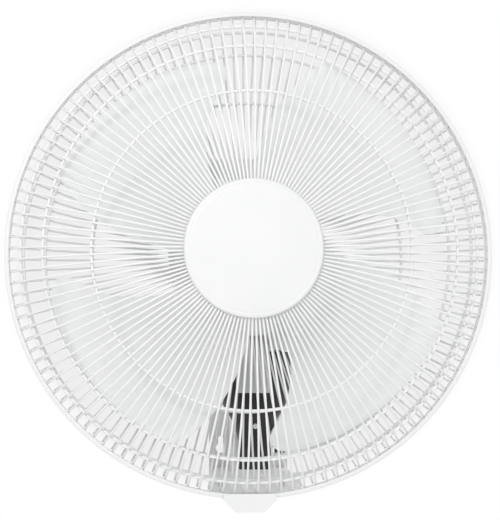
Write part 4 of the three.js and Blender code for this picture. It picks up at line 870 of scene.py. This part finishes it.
# ---------------------------------------------------------------- neck
TILT_Z = middle("tilt_nut").z  # the heights below count up from this axis
LEG_HALF_X = 16.1 * MM
LEG_HALF_Y = 15 * MM
LEG_SQUARENESS = 7.0
LEG_TOP = 35 * MM
CUP_SLOPE = ((-8 * MM, 14 * MM), (-2 * MM, 15.9 * MM), (19 * MM, 21.6 * MM), (LEG_TOP, 32 * MM))
CUP_FLOOR = 66 * MM
CUP_RADIUS = outer_radius("neck")
CUP_WALL = 3.2 * MM
CUP_EASE = 5 * MM
BOSS_OUTER = 9.4 * MM
PIN_BORE = 5.4 * MM
POST_BOSS_TOP = 106.6 * MM  # above the mount's middle
CUP_BELOW_POST = 15.7 * MM  # from the link post's foot up to the cup's edge
NECK_SEGMENTS = 128
NECK_STEPS = 60


def neck():
    """A squared leg that opens into a round cup, with its slot, bores and bosses."""
    low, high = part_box("neck")
    foot, boss_top = low.z, high.z
    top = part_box("link_post")[0].z + CUP_BELOW_POST
    floor = TILT_Z + CUP_FLOOR
    slope = [(TILT_Z + z, r) for z, r in CUP_SLOPE]
    slope += [(floor - 8 * MM, CUP_RADIUS), (top, CUP_RADIUS)]
    turns = [TAU * j / NECK_SEGMENTS for j in range(NECK_SEGMENTS)]

    def cup_radius(z):
        if z <= slope[0][0]:
            return slope[0][1]
        for (z0, r0), (z1, r1) in zip(slope, slope[1:]):
            if z <= z1 + 1e-9:
                return r0 + (r1 - r0) * (z - z0) / (z1 - z0)
        return CUP_RADIUS

    def eased(z):
        reach = [z + k * CUP_EASE / 3 for k in range(-3, 4)]
        return sum(cup_radius(max(foot, min(top, z))) for z in reach) / len(reach)

    def leg_radius(c, s):
        n = LEG_SQUARENESS
        return (abs(c / LEG_HALF_X) ** n + abs(s / LEG_HALF_Y) ** n) ** (-1 / n)

    bm = bmesh.new()
    rows = [[bm.verts.new((0, NECK_Y, foot))]]
    for k in range(NECK_STEPS + 1):
        z = foot + k * (top - foot) / NECK_STEPS
        cup = eased(z)
        row = []
        for a in turns:
            c, s = math.cos(a), math.sin(a)
            leg = z <= TILT_Z + LEG_TOP
            r = soft_max(leg_radius(c, s), cup, 2.5 * MM) if leg else cup
            row.append(bm.verts.new((r * c, NECK_Y + r * s, z)))
        rows.append(row)
    inside = [
        (CUP_RADIUS - 0.6 * MM, top + 0.5 * MM),
        (CUP_RADIUS - 2.6 * MM, top + 0.5 * MM),
        (CUP_RADIUS - CUP_WALL, top),
        (CUP_RADIUS - CUP_WALL, floor + 3 * MM),
        (CUP_RADIUS - 6 * MM, floor),
        (12 * MM, floor),
        (BOSS_OUTER, floor + 2.5 * MM),
        (BOSS_OUTER, boss_top),
        (PIN_BORE, boss_top),
        (PIN_BORE, floor - 20 * MM),
        (0, floor - 20 * MM),
    ]
    for r, z in inside:
        z = min(z, boss_top)
        ring = turns if r else turns[:1]
        rows.append([bm.verts.new((r * math.cos(a), NECK_Y + r * math.sin(a), z)) for a in ring])
    grid_faces(bm, rows)
    obj = new_object("neck_shell", bm, "neck_body", "black_plastic", ("neck",))

    slot = bmesh.new()  # for the bracket's ear
    slot_half = 9.3 * MM
    add_box(
        slot,
        (-slot_half, NECK_Y - 12 * MM, foot - 10 * MM),
        (slot_half, NECK_Y + 50 * MM, TILT_Z + 18 * MM),
    )
    combine(obj, slot)
    drill(obj, (0, NECK_Y, TILT_Z + 28 * MM), "Z", 9.5 * MM, 22 * MM)  # pocket of the pin's head
    drill(obj, (0, NECK_Y, TILT_Z + 50 * MM), "Z", PIN_BORE, 60 * MM)
    drill(obj, (0, NECK_Y, TILT_Z), "X", 4.4 * MM, 60 * MM)  # tilt bolt
    drill(obj, (-25 * MM, NECK_Y, TILT_Z), "X", 7.4 * MM, 23.6 * MM)  # its nut
    drill(obj, (31.1 * MM, NECK_Y, TILT_Z), "X", 14 * MM, 30 * MM)  # seat of its knob

    post = middle("link_post")
    boss = bmesh.new()
    start = floor - 1 * MM
    profile = [(0, start), (6 * MM, start), (6 * MM, POST_BOSS_TOP), (0, POST_BOSS_TOP)]
    lathe(boss, rounded(profile, 0.5 * MM), (post.x, post.y, 0), "Z", 48)
    combine(obj, boss, "UNION")
    drill(obj, (post.x, post.y, floor + 16 * MM), "Z", 3.3 * MM, 20 * MM)

    plug = middle("neck_plug")
    pad = bmesh.new()
    front, back = NECK_Y - 22 * MM, NECK_Y - 14 * MM
    profile = [(0, front), (5 * MM, front), (5.6 * MM, back), (0, back)]
    lathe(pad, rounded(profile, 0.5 * MM), (plug.x, 0, plug.z), "Y", 40)
    combine(obj, pad, "UNION")
    drill(obj, (plug.x, NECK_Y - 21 * MM, plug.z), "Y", 2.5 * MM, 4 * MM)
    shade_smooth(obj.data)


neck()


# ---------------------------------------------------------------- rounded copies
FLOOR_RISE = 3 * MM  # the housing's underside, tucked up behind the rim's lower edge
RAISED_BELOW = {"base_housing": -40 * MM, "cord_gland": 0.0}  # heights under which it applies
for name, node, width in (
    ("apron", "pivot_apron", 0.8),
    ("bracket_post", "pivot_bracket", 0.6),
    ("bracket_base", "base_housing", 1.6),
    ("bracket_plate", "wall_plate", 0.6),
    ("clip_front", "guard_clip_front", 0.7),
    ("clip_rear", "guard_clip_rear", 0.7),
    ("speed_dial", "speed_knob", 0.6),
    ("tilt_grip", "tilt_knob", 0.8),
    ("swing_knob", "oscillation_knob", 0.6),
    ("plug_cap", "neck_plug", 0.2),
    ("gland", "cord_gland", 0.3),
    ("link", "crank_link", 0.3),
):
    refined(name, node, width * MM, RAISED_BELOW.get(node))


# ---------------------------------------------------------------- small fittings
SCREW_SIDES = 32
COVER_SCREW = 3.2 * MM  # radius of a head
COVER_SCREW_CIRCLE = 54 * MM
BASE_SCREW = 2.8 * MM
BASE_SCREW_X = 32 * MM
BASE_SCREW_Z = -30 * MM
BASE_FRONT = -70 * MM  # the foot's front face


def screw(name, centre, outward, radius, body):
    """A pan head with a cross recess, lying on a face."""
    bm = bmesh.new()
    height, sunk = radius * 0.55, -radius * 0.3
    profile = [
        (0, sunk), (radius, sunk), (radius, height * 0.4), (radius * 0.55, height), (0, height)
    ]
    lathe(bm, rounded(profile, radius * 0.3), (0, 0, 0), "Z", SCREW_SIDES)
    seat = Matrix.Translation(centre) @ Vector(outward).to_track_quat("Z", "Y").to_matrix().to_4x4()
    bmesh.ops.transform(bm, matrix=seat, verts=bm.verts)
    obj = new_object(name, bm, body, "steel")
    long_half, short_half = radius * 0.62, radius * 0.13
    for across in (45, 135):
        cross = bmesh.new()
        add_box(
            cross, (-long_half, -short_half, height * 0.35), (long_half, short_half, height * 2)
        )
        spin = Matrix.Rotation(math.radians(across), 4, "Z")
        bmesh.ops.transform(cross, matrix=seat @ spin, verts=cross.verts)
        combine(obj, cross)


def stem_floor():
    """Closes the stem's open underside and the slot below it in the housing's front wall."""
    half, wall_back = 18.6 * MM, BASE_FRONT + 2.4 * MM
    bm = bmesh.new()
    add_box(bm, (-half, -81.7 * MM, -18 * MM), (half, BASE_FRONT + 0.5 * MM, -16.2 * MM))
    add_box(bm, (-half, BASE_FRONT, -22.2 * MM), (half, wall_back, -17.6 * MM))
    new_object("bracket_floor", bm, "base", SLOTS["base_housing"])


def clip_cap():
    """A snap-in cap over the clip's screw head."""
    centre = middle("guard_clip_screw")
    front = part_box("guard_clip_front")[0].y
    radius, deep = 4.5 * MM, 2.4 * MM
    profile = [(0, deep), (radius, deep), (radius, 0.1 * MM), (0, 0)]
    bm = bmesh.new()
    lathe(bm, rounded(profile, 0.4 * MM), (centre.x, front, centre.z), "Y", 48)
    new_object("clip_cap", bm, "head", "white_plastic")


stem_floor()
cover_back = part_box("motor_rear_cover")[1].y
for k, angle in enumerate((45, 135, 225, 315)):
    place = about_shaft(COVER_SCREW_CIRCLE, cover_back - RIM_Y, math.radians(angle))
    screw(f"cover_screw_{k + 1}", place, (0, 1, 0), COVER_SCREW, "head")
for k, x in enumerate((-BASE_SCREW_X, BASE_SCREW_X)):
    place = Vector((x, BASE_FRONT, BASE_SCREW_Z))
    screw(f"base_screw_{k + 1}", place, (0, -1, 0), BASE_SCREW, "base")
clip_cap()


# ---------------------------------------------------------------- stage and light
FLOOR_Z = -1.1
FLOOR_RADIUS = 4.8


def floor():
    """A pale disc of floor well below the fan, out of the photo's frame."""
    bm = bmesh.new()
    edge = [(FLOOR_RADIUS, 0), (FLOOR_RADIUS + 0.02, -0.01)]
    lathe(bm, [(0, 0), (2.0, 0), *edge, (0, -0.01)], (0, -0.3, FLOOR_Z), "Z", 96)
    obj = mesh_object("floor", bm)
    material, tree, shader = node_material("floor_paint")
    tone = two_tone(tree, noise(tree, coords(tree), 3), (0.86, 0.862, 0.866), (0.83, 0.832, 0.836))
    tree.links.new(tone, shader.inputs["Base Color"])
    shader.inputs["Roughness"].default_value = 0.85
    obj.data.materials.append(material)


def soft_box(name, place, size, watts):
    """A round lamp that faces the middle of the rim."""
    light = bpy.data.lights.new(name, "AREA")
    light.shape = "DISK"
    light.size = size
    light.energy = watts
    obj = bpy.data.objects.new(name, light)
    obj.location = place
    obj.rotation_euler = (Vector(RIM_CENTRE) - Vector(place)).to_track_quat("-Z", "Y").to_euler()
    bpy.context.scene.collection.objects.link(obj)


WORLD_STRENGTH = 0.66
# Painted shadow: the backdrop's tone inside the guard's outline, darker than outside it
GUARD_SHADOW_TONE = 0.86
OUTSIDE_TONE = 1.0
FAR_TONE = 0.86
GUARD_EDGE = (252, 222)  # pixels of the photo from the rim's centre
FAR_FADE = (35, 14)  # degrees from the camera's line to the rim's centre


def world_light():
    """Even white light; the camera sees a pale backdrop with a painted shadow, a little greyer
    behind the guard, standing for the fan's shade on a wall.
    """
    world = bpy.data.worlds.new("studio")
    bpy.context.scene.world = world
    world.use_nodes = True
    tree = world.node_tree

    def linked(kind, *sources, **settings):
        """A node with its first inputs fed from the sources."""
        node = tree.nodes.new(kind)
        for key, value in settings.items():
            setattr(node, key, value)
        for k, source in enumerate(sources):
            tree.links.new(source, node.inputs[k])
        return node

    def fade(value, edges, tones):
        node = linked("ShaderNodeMapRange", value, interpolation_type="SMOOTHSTEP")
        node.inputs["From Min"].default_value = edges[0]
        node.inputs["From Max"].default_value = edges[1]
        node.inputs["To Min"].default_value = tones[0]
        node.inputs["To Max"].default_value = tones[1]
        return node.outputs["Result"]

    light = tree.nodes["Background"]
    light.inputs["Color"].default_value = (1, 1, 1, 1)
    light.inputs["Strength"].default_value = WORLD_STRENGTH
    heading = tree.nodes.new("ShaderNodeTexCoord").outputs["Generated"]
    along = linked("ShaderNodeVectorMath", heading, operation="DOT_PRODUCT")
    along.inputs[1].default_value = (Vector(RIM_CENTRE) - CAMERA_AT).normalized()
    along = along.outputs["Value"]
    edges = [math.cos(math.atan(pixels / FOCAL_PX)) for pixels in GUARD_EDGE]
    # painted shadow: the backdrop fades from its outside tone to the darker tone behind the guard
    near = fade(along, edges, (OUTSIDE_TONE, GUARD_SHADOW_TONE))
    edges = [math.cos(math.radians(degrees)) for degrees in FAR_FADE]
    far = fade(along, edges, (FAR_TONE, 1))
    tone = linked("ShaderNodeMath", near, far, operation="MULTIPLY").outputs["Value"]
    backdrop = tree.nodes.new("ShaderNodeBackground")
    backdrop.inputs["Color"].default_value = (1, 1, 1, 1)
    tree.links.new(tone, backdrop.inputs["Strength"])
    path = tree.nodes.new("ShaderNodeLightPath").outputs
    seen = path["Is Camera Ray"]
    for ray in ("Is Transmission Ray", "Is Glossy Ray"):
        seen = linked("ShaderNodeMath", seen, path[ray], operation="ADD", use_clamp=True)
        seen = seen.outputs["Value"]
    lit, shown = light.outputs["Background"], backdrop.outputs["Background"]
    mix = linked("ShaderNodeMixShader", seen, lit, shown)
    tree.links.new(mix.outputs["Shader"], tree.nodes["World Output"].inputs["Surface"])


floor()
soft_box("key", (-0.75, -2.5, 1.05), 0.5, 25)
soft_box("fill", (0.9, -2.5, 0.3), 1.6, 7.5)
soft_box("back", (0.9, 1.9, 1.3), 1.8, 19)
world_light()

bpy.context.scene.view_settings.view_transform = "Standard"
